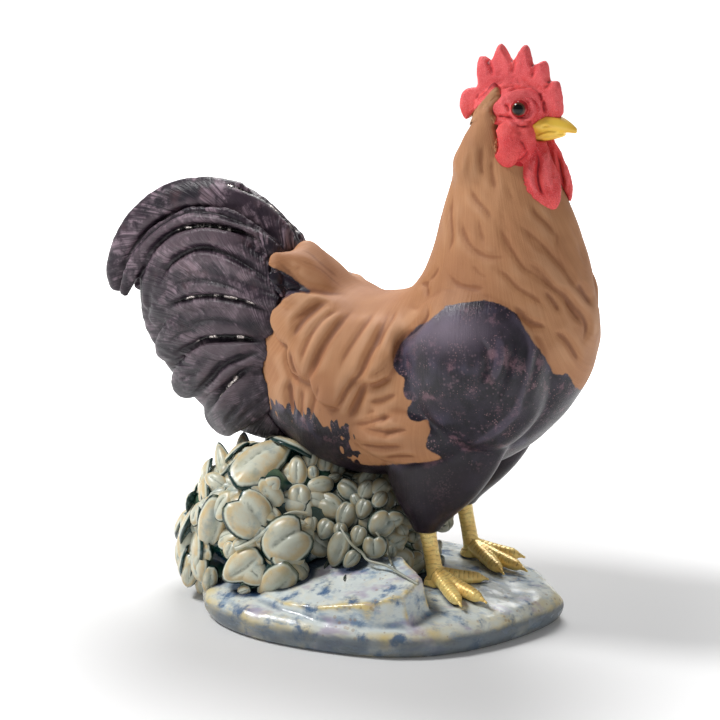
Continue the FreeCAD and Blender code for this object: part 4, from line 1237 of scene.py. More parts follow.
def cheek_filling():
    """A ball under the skin of each cheek, between earlobe, eye and beak."""
    start, way = ray_through(*CHEEK_PLACE)
    hit = surface_of(["body_shell", "face"]).ray_cast(start.tolist(), way.tolist())[0]
    right_cheek = np.array(hit) + (0.0, CHEEK_INSET, 0.0)
    return [ball(right_cheek * (1, side, 1), CHEEK_RADII) for side in (1, -1)]


def make_head_skin():
    skin = fused("head_skin", HEAD_NODES, HEAD_VOXEL, cheek_filling())
    skin.soften(3)
    marks = FACE_STROKES + COMB_STROKES + WATTLE_STROKES + [(EYE_RING, 2.0, -1.1, 0.0)]
    height, shade = strokes_on(skin, marks)
    height = height + RED_GRAIN * (lumps(skin.points, 2.4) + lumps(skin.points, 1.3, 5.0))
    edge = field_depth(skin, NAPE_TAN) * MM_PER_PIXEL
    skin.push(skin.averaged(height - NAPE_INSET * step(-0.6, 0.8, edge), 1))
    # Folds, which the finish paints darker as shade.
    skin.marks["crease"] = skin.averaged(shade, 1)
    # Hollows, which the finish paints darker as shade.
    skin.marks["hollow"] = np.clip(measure_hollows(skin, 12) * 2.5, 0, 1)
    # Higher on ridges and at the top of the head, where the finish paints pink and a highlight.
    rubbed = 0.5 + skin.averaged(height, 1) * 0.9 + 0.5 * step(250, 266, skin.points[:, 2])
    skin.marks["rubbed"] = np.clip(rubbed, 0, 1)
    edge = field_depth(skin, NAPE_TAN) * MM_PER_PIXEL
    skin.marks["tan_edge"] = np.clip(edge, -EDGE_LIMIT, EDGE_LIMIT)
    return skin.build(crimson_finish, "red_bisque", HEAD_NODES)


head_skin = make_head_skin()

# %% [markdown]
# The beak is glossy yellow enamel over bisque, with a groove above the nostril and a line where
# the halves meet. The legs and the claws are gilded: liquid bright gold, fired on, over rows of
# small scutes. The gilding counts as metal in part. The grooves of beak and scutes are painted a
# darker brown as shade, and there the gilding doesn't count as metal.

# %% Finish of beak and gilding
def make_yellow_finish(name, light, deep, metallic, roughness):
    material, bench, shader = new_finish(name)
    tone = bench.use(clay_grain, {"Patch Scale": 160.0, "Grain Scale": 2200.0}, "Tone")
    grain = bench.use(clay_grain, {"Patch Scale": 160.0, "Grain Scale": 2200.0}, "Height")
    color = bench.tint(light, tone, 0.5, deep)
    # Grooves are painted darker brown as shade, and there the gilding is not metal.
    painted_crease_shade = brushed_mask(bench, "crease", 0.55, 0.35, 0.35, 600.0)
    color = bench.tint(color, painted_crease_shade, 0.8, paint(120, 66, 22))
    rough = bench.rise(tone, 0.0, 1.0, roughness, roughness + 0.1)
    metal = bench.rise(painted_crease_shade, 0.2, 0.9, metallic, 0.0) if metallic else None
    wire(bench, shader, color, rough, grain, 0.08, metallic=metal)
    return material


beak_finish = make_yellow_finish("yellow_enamel_beak", paint(240, 200, 78), paint(224, 166, 48), 0.0, 0.3)
gilded_finish = make_yellow_finish("bright_gold_legs", paint(255, 228, 146), paint(244, 184, 84), 0.2, 0.26)

# %% Casting of beak and legs
BEAK_STROKES = strokes(
    1.2, 0.6, 0.0,
    ((531, 141), (535, 139), (542, 137), (550, 135), (560, 134), (570, 133)),
    ((535, 137), (539, 134), (546, 132)), ((541, 128), (545, 126), (550, 127)))
BEAK_NODES = ["upper_beak", "lower_beak"]
BEAK_VOXEL = 0.4
SLIT_HALF_HEIGHT, SLIT_DROP = 1.9, 0.4


def make_beak():
    """Both halves as one skin, with the slit between them closed."""
    points, _ = cad_arrays(["lower_beak"])
    low, high = points.min(axis=0), points.max(axis=0)
    seam = np.array(((low[0] + high[0]) / 2, 0.0, high[2] - SLIT_DROP))
    slit = ball(seam, ((high[0] - low[0]) * 0.46, (high[1] - low[1]) * 0.44, SLIT_HALF_HEIGHT))
    skin = fused("beak", BEAK_NODES, BEAK_VOXEL, [slit])
    skin.soften(2)
    height, shade = strokes_on(skin, BEAK_STROKES)
    skin.push(skin.averaged(height, 1))
    # Grooves, which the finish paints darker as shade.
    skin.marks["crease"] = skin.averaged(shade, 1)
    return skin.build(beak_finish, "beak_glaze", BEAK_NODES)


LEG_VOXEL = 0.5
SCUTE_LENGTH = 2.3
SCUTE_DEPTH = 0.2
TOE_HEIGHT = 7
HEEL_LENGTH = 9


def make_leg(side):
    """One shank with its toes, ringed with scutes."""
    nodes = [f"{side}_shank", f"{side}_foot"]
    skin = fused(f"{side}_gilded_leg", nodes, LEG_VOXEL)
    skin.soften(1)
    low, high = (np.array(v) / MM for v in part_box(nodes[0]))
    foot = np.array([(low[0] + high[0]) / 2, (low[1] + high[1]) / 2])
    reach = np.linalg.norm(skin.points[:, :2] - foot, axis=1)
    rise = skin.points[:, 2] - low[2]
    along = np.where(rise > TOE_HEIGHT, rise + HEEL_LENGTH, reach)
    across = np.arctan2(skin.points[:, 1] - foot[1], skin.points[:, 0] - foot[0])
    wave = np.cos(2 * math.pi * (along / SCUTE_LENGTH + 0.25 * np.cos(3 * across)))
    groove = step(0.55, 1.0, wave)
    top = step(-0.3, 0.5, skin.normals()[:, 2]) * (rise <= TOE_HEIGHT) + (rise > TOE_HEIGHT)
    groove = groove * top + 0.6 * np.clip(lumps(skin.points, 2.0), 0, 1)
    skin.push(-SCUTE_DEPTH * groove)
    # Scute grooves, which the finish paints darker as shade.
    skin.marks["crease"] = skin.averaged(np.clip(groove, 0, 1), 1) * 0.75
    return skin.build(gilded_finish, "gilded_ceramic", nodes)


beak = make_beak()
gilded_legs = [make_leg(side) for side in SIDES]

# %% [markdown]
# The eye is a bead under a clear glossy glaze: a black pupil, a brown iris and a red rim. Its
# colours are rings about the place where the bead faces outwards, so they follow the distance
# from that place.

# %% Eyes
EYE_VOXEL = 0.3
PUPIL_RADIUS = 2.5
IRIS_RADIUS = 3.7


def make_eye_finish():
    material, bench, shader = new_finish("glass_clear_eye")
    ring = bench.mark("from_pupil")
    rays = bench.clouds(bench.place(), 900.0, 3.0)
    iris = bench.blend(rays, paint(50, 26, 18), paint(96, 60, 40))
    color = bench.blend(bench.rise(ring, PUPIL_RADIUS - 0.2, PUPIL_RADIUS + 0.3), paint(12, 8, 8), iris)
    color = bench.blend(bench.rise(ring, IRIS_RADIUS - 0.4, IRIS_RADIUS + 0.1), color, paint(150, 30, 34))
    rough = bench.rise(rays, 0.0, 1.0, 0.05, 0.12)
    wire(bench, shader, color, rough, rays, 0.02)
    shader.inputs["Specular IOR Level"].default_value = 0.3
    return material


eye_finish = make_eye_finish()


def make_eye(side):
    node = f"{side}_eye"
    skin = fused(node + "_bead", [node], EYE_VOXEL)
    skin.soften(1)
    low, high = (np.array(v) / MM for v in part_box(node))
    outward = -1.0 if side == "right" else 1.0
    front = (low + high) / 2 + np.array((0.8, outward * (high[1] - low[1]) / 2, 0.2))
    skin.marks["from_pupil"] = np.linalg.norm(skin.points - front, axis=1)
    return skin.build(eye_finish, "eye_enamel", [node])


eyes = [make_eye(side) for side in SIDES]

# %% [markdown]
# The rock and the leaves are glazed with reactive glazes. Such a glaze is ochre where it runs
# thin over a ridge, pale on open ground and deep green or cobalt where it collects. So each skin
# first measures its own ridges and hollows, by comparing every point with the average of its
# surroundings, and the Pooled Glaze effect turns that into colour.

# %% Finish of the rock
def make_rock_finish():
    material, bench, shader = new_finish("reactive_rock_glaze")
    place = bench.place()
    hollow = bench.mark("hollow")
    color = bench.use(pooled_glaze, {
        "Depth": hollow, "Run Scale": 55.0, "Ridge Color": paint(222, 202, 142),
        "Middle Color": paint(218, 226, 224), "Pool Color": paint(36, 74, 114)}, "Color")
    stretched = bench.put("ShaderNodeMapping", {"Vector": place, "Scale": (1.0, 1.6, 2.6)}).outputs[0]
    veins = bench.clouds(stretched, 75.0, 6.0, 0.65)
    color = bench.tint(color, bench.rise(veins, 0.48, 0.7), 0.7, paint(92, 134, 172))
    blots = bench.clouds(place, 62.0, 6.0, 0.62)
    color = bench.tint(color, bench.rise(blots, 0.52, 0.64), 0.85, paint(38, 88, 136))
    patch = bench.clouds(stretched, 48.0, 3.0)
    color = bench.tint(color, bench.rise(patch, 0.54, 0.7), 0.6, paint(168, 148, 180))
    milky = bench.clouds(place, 110.0, 3.0)
    color = bench.tint(color, bench.rise(milky, 0.54, 0.7), 0.6, paint(232, 232, 218))
    rust = bench.use(glaze_speckle, {"Scale": 260.0, "Cover": 0.3}, "Mask")
    color = bench.tint(color, rust, 0.4, paint(150, 110, 60))
    # The mark pool darkens the rock where it meets the mound and the feet.
    deep = brushed_mask(bench, "pool", 0.5, 0.4, 0.7, 140.0)
    color = bench.tint(color, deep, 0.9, paint(18, 46, 74))
    # The steep sides low on the rock are tinted a darker blue-grey.
    uneven = bench.rise(bench.clouds(place, 40.0, 4.0), 0.3, 0.6, 0.5, 0.9)
    steep_side_tint = bench.sums("MULTIPLY", bench.mark("steep"), uneven)
    color = bench.blend(steep_side_tint, color, paint(90, 104, 118))
    rough = bench.rise(veins, 0.3, 0.7, 0.16, 0.3)
    wire(bench, shader, color, rough, bench.sums("ADD", veins, milky), 0.25)
    return material


rock_finish = make_rock_finish()

# %% [markdown]
# A leaf of this kind is a small pillow of clay, pressed on to the mound: crowned, with a rolled
# rim, a crease down the middle and a tip that curls under. One function makes it from its length
# and width, and a mark says how deep the glaze lies; at the outer edge it is made deep, to paint a
# dark shade in the gaps between leaves. The leaves that the picture shows are placed one by one,
# and Geometry Nodes scatter others on the ground between them and over the whole back.

# %% Finish of the leaves
def make_leaf_finish():
    material, bench, shader = new_finish("pale_leaf_glaze")
    depth = bench.mark("glaze_depth")
    run = {"Depth": depth, "Run Scale": 150.0, "Ridge Color": paint(214, 188, 136),
           "Middle Color": paint(214, 217, 200), "Pool Color": paint(18, 50, 46)}
    color = bench.use(pooled_glaze, run, "Color")
    place = bench.place()
    blue = bench.clouds(place, 120.0, 4.0)
    color = bench.tint(color, bench.rise(blue, 0.52, 0.72), 0.5, paint(122, 148, 156))
    moss = bench.clouds(place, 85.0, 3.0)
    color = bench.tint(color, bench.rise(moss, 0.55, 0.75), 0.35, paint(172, 168, 122))
    # Leaves further forward, under the body, are painted darker as its shadow.
    forward = bench.put("ShaderNodeSeparateXYZ", {"Vector": place}).outputs["X"]
    painted_belly_shade = bench.sums("MULTIPLY", bench.rise(forward, -0.06, -0.02), 0.6)
    color = bench.blend(painted_belly_shade, color, paint(72, 80, 72))
    specks = bench.use(glaze_speckle, {"Scale": 1100.0, "Cover": 0.25}, "Mask")
    color = bench.tint(color, specks, 0.35, paint(60, 100, 130))
    rough = bench.rise(bench.use(pooled_glaze, run, "Depth"), 0.0, 1.0, 0.34, 0.2)
    wire(bench, shader, color, rough, bench.sums("ADD", blue, moss), 0.15)
    return material


leaf_finish = make_leaf_finish()


def make_pool_finish():
    material, bench, shader = new_finish("deep_green_pool_glaze")
    color = bench.use(pooled_glaze, {
        "Depth": bench.mark("hollow"), "Run Scale": 90.0, "Ridge Color": paint(96, 120, 96),
        "Middle Color": paint(30, 66, 58), "Pool Color": paint(12, 40, 52)}, "Color")
    cobalt = bench.clouds(bench.place(), 60.0, 3.0)
    color = bench.blend(bench.rise(cobalt, 0.55, 0.72), color, paint(26, 76, 128))
    rough = bench.rise(cobalt, 0.3, 0.7, 0.1, 0.2)
    wire(bench, shader, color, rough, cobalt, 0.3)
    return material


pool_finish = make_pool_finish()

# %% Shape of one leaf
LEAF_TURNS = 26
LEAF_RINGS = (0.0, 0.14, 0.28, 0.42, 0.56, 0.7, 0.82, 0.91, 0.97, 1.0)


def leaf_outline(kind, angle):
    """How far the edge of a leaf stands from its middle, for a way round it; 0 is the tip."""
    reach = 1.0
    if kind == "heart":
        reach -= 0.38 * math.exp(-((abs(angle) - math.pi) / 0.42) ** 2)
    if kind in ("fold", "oval"):
        reach -= 0.2 * math.sin(angle) ** 2 * max(0.0, math.cos(angle))
        reach += 0.08 * math.exp(-(angle / 0.3) ** 2)
        reach -= 0.14 * math.exp(-((abs(angle) - math.pi) / 0.5) ** 2)
    return reach


def leaf_shape(kind, length, width, thickness, bend=0.0, curl=0.5):
    """Points in mm, faces and glaze depth of one leaf, lying flat in the XY plane; the depth at its edge is
    painted shade.
    """
    crease_depth = {"fold": 0.52, "heart": 0.42, "oval": 0.28, "round": 0.14}[kind]
    points, depths = [], []
    for level, rings in ((1, LEAF_RINGS), (-1, LEAF_RINGS[-3::-3])):
        for ring in rings:
            for turn in range(LEAF_TURNS if ring > 0 else 1):
                angle = math.pi - 2 * math.pi * turn / LEAF_TURNS
                reach = ring * leaf_outline(kind, angle)
                x, y = reach * math.cos(angle), reach * math.sin(angle)
                crown = (1 - ring ** 2) ** 0.68 if ring < 1 else 0.0
                rim = math.exp(-((ring - 0.76) / 0.18) ** 2)
                middle = math.exp(-(ring / 0.5) ** 2)
                off = y - bend * (1 - x * x)
                groove = math.exp(-abs(off) / 0.2) * (1 if x < 0.6 else 0.4)
                if level > 0:
                    z = crown + 0.06 * rim - 0.06 * middle - crease_depth * groove * (1 - ring ** 6)
                    # The outer edge gets a deep glaze depth, which paints it dark as shade in the gaps
                    # between leaves.
                    edge = max(0.0, (ring - 0.84) / 0.16) ** 1.4
                    depth = 0.4 - 0.16 * rim + 0.3 * groove ** 1.5 + 0.9 * edge
                else:
                    z, depth = -0.55 * (1 - ring ** 2), 1.0
                z -= curl * max(0.0, x) ** 2 + 0.35 * y * y
                points.append((x * length, y * width, z * thickness))
                depths.append(min(depth, 1.2))
    faces = []

    def ring_faces(inner, outer):
        for i in range(LEAF_TURNS):
            j = (i + 1) % LEAF_TURNS
            faces.append((inner + i, inner + j, outer + j, outer + i))

    for i in range(LEAF_TURNS):
        faces.append((0, 1 + (i + 1) % LEAF_TURNS, 1 + i))
    start = 1
    for _ in LEAF_RINGS[2:]:
        ring_faces(start, start + LEAF_TURNS)
        start += LEAF_TURNS
    below = start + LEAF_TURNS
    bottom_rings = [r for r in LEAF_RINGS[-3::-3] if r > 0]
    ring_faces(start, below)
    for _ in bottom_rings[1:]:
        ring_faces(below, below + LEAF_TURNS)
        below += LEAF_TURNS
    faces.append(tuple(range(below, below + LEAF_TURNS)))
    return np.array(points), faces, np.array(depths)


sample = leaf_shape("heart", 12, 11, 4)
print("one leaf:", len(sample[0]), "points", len(sample[1]), "faces")

# %% [markdown]
# The mound under the leaves is lower than their tops, and its dark glaze shows only in the gaps.
# Its skin comes from the mound and the sprays together, pushed inwards by less than the
# thickness of a leaf. The rock is one skin of slab and boulder; a mark darkens it where it meets
# the mound and the feet.

# %% Rock and mound
BUSH_SPRAYS = ["upper_leaf_spray", "middle_leaf_spray", "lower_leaf_spray", "rear_leaf_spray",
               "far_leaf_spray"]
LEAF_SPRAYS = BUSH_SPRAYS + ["right_small_leaves", "left_small_leaves"]
MOUND_NODES = ["leaf_mound", "belly_prop"]
ROCK_NODES = ["base_slab", "front_boulder"]
MOUND_VOXEL, ROCK_VOXEL = 1.3, 1.05
MOUND_SINK = 1.6


def distance_to(tree, points, far=40.0):
    """Distance in mm from each point to a surface, no further than far."""
    nearest = (tree.find_nearest(p, far)[3] for p in points.tolist())
    return np.array([far if gap is None else gap for gap in nearest])


def make_mound():
    skin = fused("mound", MOUND_NODES + BUSH_SPRAYS, MOUND_VOXEL)
    skin.soften(4)
    skin.push(-MOUND_SINK + 0.8 * lumps(skin.points, 9.0))
    skin.points[:, 2] = np.maximum(skin.points[:, 2], 1.0)
    skin.marks["hollow"] = np.clip(0.5 + measure_hollows(skin, 20) * 0.5, 0, 1)
    return skin, skin.build(pool_finish, "leaf_glaze", MOUND_NODES)


def make_rock():
    skin = fused("rock", ROCK_NODES, ROCK_VOXEL)
    skin.soften(2)
    upper = step(2.0, 6.0, skin.points[:, 2])
    height = 0.7 * lumps(skin.points, 17.0) + 0.35 * lumps(skin.points, 7.0) - 0.3
    skin.push(height * upper)
    skin.marks["hollow"] = np.clip(0.5 + measure_hollows(skin, 30) * 0.5, 0, 1.2)
    near_mound = distance_to(surface_of(MOUND_NODES + LEAF_SPRAYS), skin.points, 12.0)
    near_feet = distance_to(surface_of(["right_foot", "left_foot"]), skin.points, 8.0)
    skin.marks["steep"] = step(0.35, 0.85, 1 - skin.normals()[:, 2]) * step(15, 9, skin.points[:, 2])
    # Near the mound and the feet, where the finish darkens the rock.
    skin.marks["pool"] = np.maximum(step(7.0, 0.5, near_mound), 0.75 * step(3.0, 0.2, near_feet))
    return skin.build(rock_finish, "rock_glaze", ROCK_NODES)


mound_skin, mound = make_mound()
rock = make_rock()

# %% Leaves read from the picture
# Each row: place x and y, half length and half width in pixels, the way the tip points in
# degrees (90 is up), kind, bend of the crease.
PLACED_LEAVES = (
    (259, 461, 33, 17, 33, "fold", 0.25), (234, 449, 24, 9, 97, "oval", -0.2),
    (223, 465, 21, 8, 108, "oval", 0.2), (217, 482, 14, 10, 150, "oval", 0.0),
    (249, 514, 25, 22, -52, "heart", 0.15), (271, 497, 17, 12, 118, "fold", 0.2),
    (212, 524, 30, 14, 254, "fold", 0.35), (190, 541, 23, 14, 250, "fold", 0.2),
    (180, 547, 20, 9, 252, "oval", 0.0), (287, 540, 25, 22, 215, "heart", -0.1),
    (243, 565, 22, 15, 215, "fold", 0.2), (277, 583, 23, 15, 222, "fold", 0.3),
    (312, 572, 23, 12, 262, "fold", 0.3), (209, 580, 15, 8, 262, "oval", 0.2),
    (222, 588, 24, 10, 272, "oval", 0.2), (243, 591, 7, 5, 200, "round", 0.0),
    (254, 602, 9, 6, 30, "round", 0.0), (297, 471, 15, 10, 90, "oval", 0.0),
    (299, 497, 13, 12, 90, "heart", 0.0), (321, 485, 13, 9, 10, "round", 0.2),
    (313, 472, 7, 6, 100, "round", 0.0), (328, 505, 15, 12, -25, "heart", 0.3),
    (349, 489, 13, 9, -35, "fold", 0.3), (346, 515, 14, 10, 250, "fold", -0.3),
    (366, 489, 10, 8, 60, "round", 0.0), (363, 508, 10, 8, 250, "oval", 0.0),
    (380, 498, 9, 7, 50, "round", 0.0), (383, 524, 14, 12, 225, "heart", 0.2),
    (325, 528, 10, 9, 240, "oval", 0.0), (337, 548, 18, 10, 250, "fold", 0.4),
    (374, 547, 12, 11, 270, "heart", 0.0), (358, 535, 10, 8, 250, "oval", 0.0),
    (352, 559, 10, 7, 230, "oval", 0.0), (399, 541, 10, 8, 30, "oval", 0.0),
    (406, 560, 12, 9, 90, "heart", 0.2), (414, 537, 6, 8, 80, "round", 0.0),
    (197, 513, 13, 7, 240, "oval", 0.0), (189, 574, 15, 9, 255, "oval", 0.2),
    (281, 447, 9, 6, 20, "round", 0.0), (294, 445, 7, 5, 60, "round", 0.0),
    (297, 513, 11, 5, 0, "round", 0.0), (318, 566, 9, 8, 200, "round", 0.0),
    (259, 535, 9, 8, 250, "round", 0.0), (240, 545, 9, 7, 210, "round", 0.0),
    (230, 550, 9, 8, 250, "oval", 0.0), (312, 522, 8, 7, 280, "oval", 0.0),
    (340, 530, 8, 7, 260, "oval", 0.0), (392, 552, 8, 6, 260, "oval", 0.0),
    (200, 560, 12, 8, 250, "fold", 0.2), (335, 477, 7, 5, 20, "round", 0.0),
    (356, 500, 7, 6, 300, "round", 0.0), (452, 512, 11, 8, 100, "oval", 0.0),
    (446, 528, 9, 8, 200, "heart", 0.0), (458, 530, 9, 8, 280, "oval", 0.0),
    (449, 545, 10, 8, 250, "heart", 0.0), (461, 548, 9, 7, 300, "oval", 0.0),
    (446, 562, 9, 7, 240, "oval", 0.0), (458, 565, 8, 7, 280, "round", 0.0),
    (338, 468, 11, 9, 80, "oval", 0.0), (352, 473, 11, 9, 60, "round", 0.0),
    (367, 479, 11, 9, 50, "oval", 0.0), (381, 487, 10, 9, 40, "round", 0.0),
    (325, 462, 10, 8, 90, "oval", 0.0), (310, 458, 10, 8, 80, "oval", 0.0),
    (395, 520, 9, 8, 20, "oval", 0.0), (402, 531, 8, 7, 300, "round", 0.0))
print(len(PLACED_LEAVES), "leaves are placed by the picture")

# %% Pressing the leaves on
LEAF_FULLNESS = 1.16
BUSH_MIDDLE = np.array((-95.0, -25.0, 60.0))
LEAF_FLOOR = 0.5
FACING_GROUND, FACING_CAMERA = 0.6, 0.4
LEAF_SINK = 1.0
LEAF_THICKNESS, THICKNESS_PER_PIXEL = 1.8, 0.2


def leaf_ground():
    """The spray and mound solids as one surface, with the node that each triangle is from."""
    points, faces, owners, start = [], [], [], 0
    for node in LEAF_SPRAYS + MOUND_NODES:
        p, f = cad_arrays([node])
        points.append(p)
        faces.append(f + start)
        owners += [node] * len(f)
        start += len(p)
    return BVHTree.FromPolygons(np.concatenate(points).tolist(), np.concatenate(faces).tolist()), owners


def place_leaves():
    ground, owners = leaf_ground()
    scale = CAMERA_DISTANCE / MM / FOCAL_PIXELS
    bunches = {}
    for x, y, half_length, half_width, tip, kind, bend in PLACED_LEAVES:
        start, way = ray_through(x, y)
        hit, normal, triangle, _ = ground.ray_cast(start.tolist(), way.tolist())
        if hit is None:
            middle = start + way * ((BUSH_MIDDLE - start) @ way)
            hit, normal, triangle, _ = ground.find_nearest(middle.tolist())
        normal = np.array(normal) * FACING_GROUND + camera_behind * FACING_CAMERA
        normal = normal / np.linalg.norm(normal)
        turn = math.radians(tip)
        sizes = []
        for angle, half in ((turn, half_length), (turn + math.pi / 2, half_width)):
            flat = camera_right * math.cos(angle) + camera_up * math.sin(angle)
            lying = flat - camera_behind * (flat @ normal) / (camera_behind @ normal)
            sizes.append(lying * half * scale * LEAF_FULLNESS)
        thickness = LEAF_THICKNESS + THICKNESS_PER_PIXEL * half_width
        shape, faces, depths = leaf_shape(kind, 1.0, 1.0, 1.0, bend)
        points = np.array(hit) - normal * LEAF_SINK + shape[:, :1] * sizes[0] + shape[:, 1:2] * sizes[1]
        points = points + shape[:, 2:] * normal * thickness
        bunches.setdefault(owners[triangle], []).append((points, faces, depths))
    return bunches


def glazed_mesh(name, points, faces, depths):
    """A mesh from places in millimetres that carries the glaze depth, with the shade painted at leaf edges,
    as a mark.
    """
    mesh = bpy.data.meshes.new(name)
    mesh.from_pydata((points * MM).tolist(), [], faces)
    mark = mesh.attributes.new("glaze_depth", "FLOAT", "POINT")
    mark.data.foreach_set("value", np.asarray(depths, dtype=np.float32))
    return mesh


def bunch_mesh(name, leaves):
    """One plain mesh of several leaves."""
    points, faces, depths, start = [], [], [], 0
    for leaf_points, leaf_faces, leaf_depths in leaves:
        points.append(leaf_points)
        faces += [tuple(i + start for i in face) for face in leaf_faces]
        depths.append(leaf_depths)
        start += len(leaf_points)
    points = within_solids(np.concatenate(points))
    points[:, 2] = np.maximum(points[:, 2], LEAF_FLOOR)
    return glazed_mesh(name, points, faces, np.concatenate(depths))


leaf_bunches = place_leaves()
leaf_pieces = []
for spray in LEAF_SPRAYS + MOUND_NODES:
    if spray in leaf_bunches:
        mesh = bunch_mesh(spray + "_leaves", leaf_bunches[spray])
        replaced = [spray] if spray in LEAF_SPRAYS else []
        leaf_pieces.append(finish_piece(spray + "_leaves", mesh, leaf_finish, replaced))
print("placed", len(PLACED_LEAVES), "leaves in", len(leaf_pieces), "bunches")

# %% Tree that scatters leaves
SCATTER_DENSITY = 40000
LEAF_TILT = 0.2
SMALLEST_LEAF, LARGEST_LEAF = 0.8, 1.25


def scatter_tree(name, finish_material):
    """Geometry Nodes that press leaves on to a skin, each turned its own way."""
    tree = bpy.data.node_groups.new(name, "GeometryNodeTree")
    tree.interface.new_socket("Mound", in_out="INPUT", socket_type="NodeSocketGeometry")
    leaf = tree.interface.new_socket("Leaf", in_out="INPUT", socket_type="NodeSocketObject")
    spacing = tree.interface.new_socket("Spacing", in_out="INPUT", socket_type="NodeSocketFloat")
    seed = tree.interface.new_socket("Seed", in_out="INPUT", socket_type="NodeSocketInt")
    tree.interface.new_socket("Leaves", in_out="OUTPUT", socket_type="NodeSocketGeometry")
    put, link = tree.nodes.new, tree.links.new
    given, end = put("NodeGroupInput"), put("NodeGroupOutput")
    points = put("GeometryNodeDistributePointsOnFaces")
    points.distribute_method = "POISSON"
    points.inputs["Density Max"].default_value = SCATTER_DENSITY
    link(given.outputs["Mound"], points.inputs["Mesh"])
    link(given.outputs["Spacing"], points.inputs["Distance Min"])
    link(given.outputs["Seed"], points.inputs["Seed"])
    room = put("GeometryNodeInputNamedAttribute")
    room.data_type = "FLOAT"
    room.inputs["Name"].default_value = "room"
    link(room.outputs["Attribute"], points.inputs["Density Factor"])
    source = put("GeometryNodeObjectInfo")
    link(given.outputs["Leaf"], source.inputs["Object"])
    place = put("GeometryNodeInstanceOnPoints")
    link(points.outputs["Points"], place.inputs["Points"])
    link(source.outputs["Geometry"], place.inputs["Instance"])
    turn = put("FunctionNodeRandomValue")
    turn.data_type = "FLOAT_VECTOR"
    turn.inputs[0].default_value = (-LEAF_TILT, -LEAF_TILT, 0.0)
    turn.inputs[1].default_value = (LEAF_TILT, LEAF_TILT, 2 * math.pi)
    spin = put("FunctionNodeRotateEuler")
    spin.rotation_type, spin.space = "EULER", "LOCAL"
    link(points.outputs["Rotation"], spin.inputs["Rotation"])
    link(turn.outputs[0], spin.inputs["Rotate By"])
    link(spin.outputs[0], place.inputs["Rotation"])
    size = put("FunctionNodeRandomValue")
    size.inputs[2].default_value = SMALLEST_LEAF
    size.inputs[3].default_value = LARGEST_LEAF
    link(size.outputs[1], place.inputs["Scale"])
    real, dress = put("GeometryNodeRealizeInstances"), put("GeometryNodeSetMaterial")
    dress.inputs["Material"].default_value = finish_material
    link(place.outputs[0], real.inputs[0])
    link(real.outputs[0], dress.inputs["Geometry"])
    link(dress.outputs[0], end.inputs["Leaves"])
    return tree, {"leaf": leaf.identifier, "spacing": spacing.identifier, "seed": seed.identifier}


leaf_tree, leaf_inputs = scatter_tree("Scattered Leaves", leaf_finish)
print("scattering tree takes", ", ".join(leaf_inputs))

# %% Leaves scattered over the mound
SCATTER_SEED = 7
GAP_SEED = SCATTER_SEED + 4
# Kind, half length, half width and thickness in millimetres.
BACK_LEAF = ("heart", 12.5, 11.5, 4.4)
GAP_LEAF = ("oval", 8.0, 6.6, 3.4)
BACK_SPACING, GAP_SPACING = 9.0, 7.5


def scatter_leaves(name, kind, length, width, thickness, spacing, seed, room):
    """Leaves of one kind over the mound's skin, as one plain mesh."""
    shape, faces, depths = leaf_shape(kind, length, width, thickness)
    leaf = bpy.data.objects.new(name + "_source", glazed_mesh(name + "_leaf", shape, faces, depths))
    bpy.context.scene.collection.objects.link(leaf)
    ground = mound.copy()
    ground.data = mound.data.copy()
    bpy.context.scene.collection.objects.link(ground)
    mark = ground.data.attributes.new("room", "FLOAT", "POINT")
    mark.data.foreach_set("value", room.astype(np.float32))
    nodes = ground.modifiers.new("Leaves", "NODES")
    nodes.node_group = leaf_tree
    nodes[leaf_inputs["leaf"]] = leaf
    nodes[leaf_inputs["spacing"]] = spacing * MM
    nodes[leaf_inputs["seed"]] = seed
    graph = bpy.context.evaluated_depsgraph_get()
    mesh = bpy.data.meshes.new_from_object(ground.evaluated_get(graph))
    ground.modifiers.clear()
    bpy.data.objects.remove(ground)
    bpy.data.objects.remove(leaf)
    return mesh


def open_ground(skin):
    """1 where scattered leaves belong: on the mound's flanks, away from rock, body and tail."""
    above_rock = step(4.0, 9.0, skin.points[:, 2])
    upward = step(-0.55, -0.1, skin.normals()[:, 2])
    clear = step(3.0, 6.0, distance_to(surface_of(ROCK_NODES), skin.points, 10.0))
    bird = surface_of(["body_shell", "tail_core", "right_thigh", "left_thigh"])
    body = step(0.8, 3.5, distance_to(bird, skin.points, 10.0))
    return above_rock * upward * clear * body


ground_room = open_ground(mound_skin)
hidden = step(0.25, -0.05, mound_skin.normals() @ np.array(camera_back))
back_room = ground_room * (hidden > 0.5)
back_mesh = scatter_leaves("back_leaves", *BACK_LEAF, BACK_SPACING, SCATTER_SEED, back_room)
gap_mesh = scatter_leaves("gap_leaves", *GAP_LEAF, GAP_SPACING, GAP_SEED, ground_room)
bare_sprays = [node for node in LEAF_SPRAYS if node not in leaf_bunches]
scattered_leaves = [
    finish_piece("back_leaves", back_mesh, leaf_finish, bare_sprays),
    finish_piece("gap_leaves", gap_mesh, leaf_finish, [])]

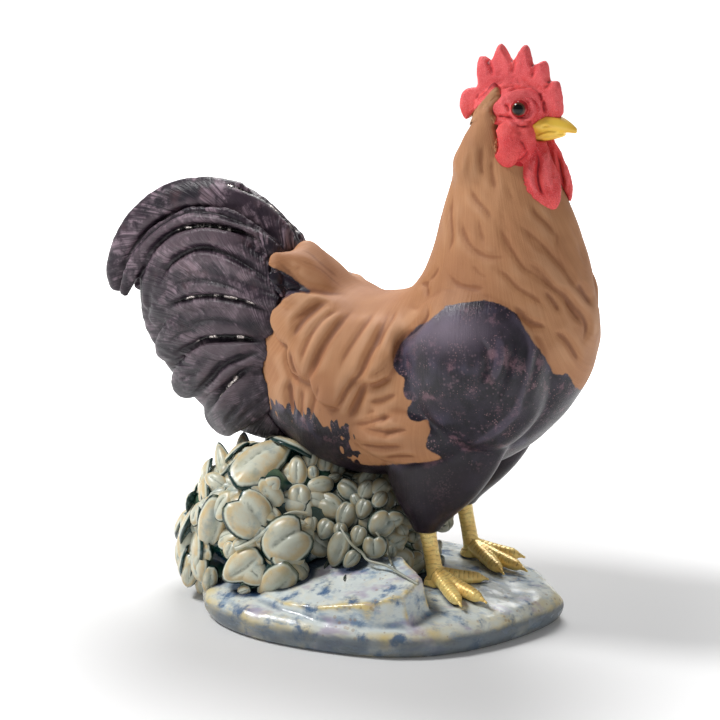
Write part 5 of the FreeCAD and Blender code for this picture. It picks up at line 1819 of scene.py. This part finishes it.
# %% [markdown]
# The pale stems of the creeper lie over the leaves and run down on to the rock. Each is a thin
# coil of clay, laid along a few places of the picture, so it is drawn as a curve with a round
# section and then turned into a plain mesh.

# %% Stems
STEM_PATHS = (
    (1.0, ((236, 549), (246, 545), (260, 536), (274, 524), (293, 510), (307, 514))),
    (0.7, ((341, 528), (346, 537), (353, 546), (362, 552), (368, 561), (388, 566), (404, 575), (417, 584))),
    (0.5, ((376, 532), (382, 540), (388, 555), (392, 566))))
STEM_LIFT = 1.2
STEM_GLAZE = 0.42


def lay_stems():
    """Points in mm and faces of all the coils, laid on what the line of sight meets."""
    ground = surface_of(LEAF_SPRAYS + MOUND_NODES + ["trailing_stem", "front_boulder", "base_slab"])
    points, faces = [], []
    for radius, marks in STEM_PATHS:
        curve = bpy.data.curves.new("stem_line", "CURVE")
        curve.dimensions, curve.bevel_depth, curve.bevel_resolution = "3D", radius * MM, 3
        curve.resolution_u, curve.use_fill_caps = 6, True
        spline = curve.splines.new("NURBS")
        spline.points.add(len(marks) - 1)
        for point, (x, y) in zip(spline.points, marks):
            start, way = ray_through(x, y)
            hit, normal = ground.ray_cast(start.tolist(), way.tolist())[:2]
            place = (np.array(hit) + camera_behind * STEM_LIFT + np.array(normal) * radius) * MM
            point.co = (*place, 1.0)
        spline.order_u, spline.use_endpoint_u = 3, True
        holder = bpy.data.objects.new("stem_line", curve)
        bpy.context.scene.collection.objects.link(holder)
        graph = bpy.context.evaluated_depsgraph_get()
        mesh = bpy.data.meshes.new_from_object(holder.evaluated_get(graph))
        start = sum(len(p) for p in points)
        points.append(np.array([v.co / MM for v in mesh.vertices]))
        faces += [tuple(i + start for i in f.vertices) for f in mesh.polygons]
        bpy.data.objects.remove(holder)
    return np.concatenate(points), faces


stem_points, stem_faces = lay_stems()
stem_depths = np.full(len(stem_points), STEM_GLAZE)
stem_mesh = glazed_mesh("trailing_stem_coils", stem_points, stem_faces, stem_depths)
stems = finish_piece("trailing_stem_coils", stem_mesh, leaf_finish, ["trailing_stem"])
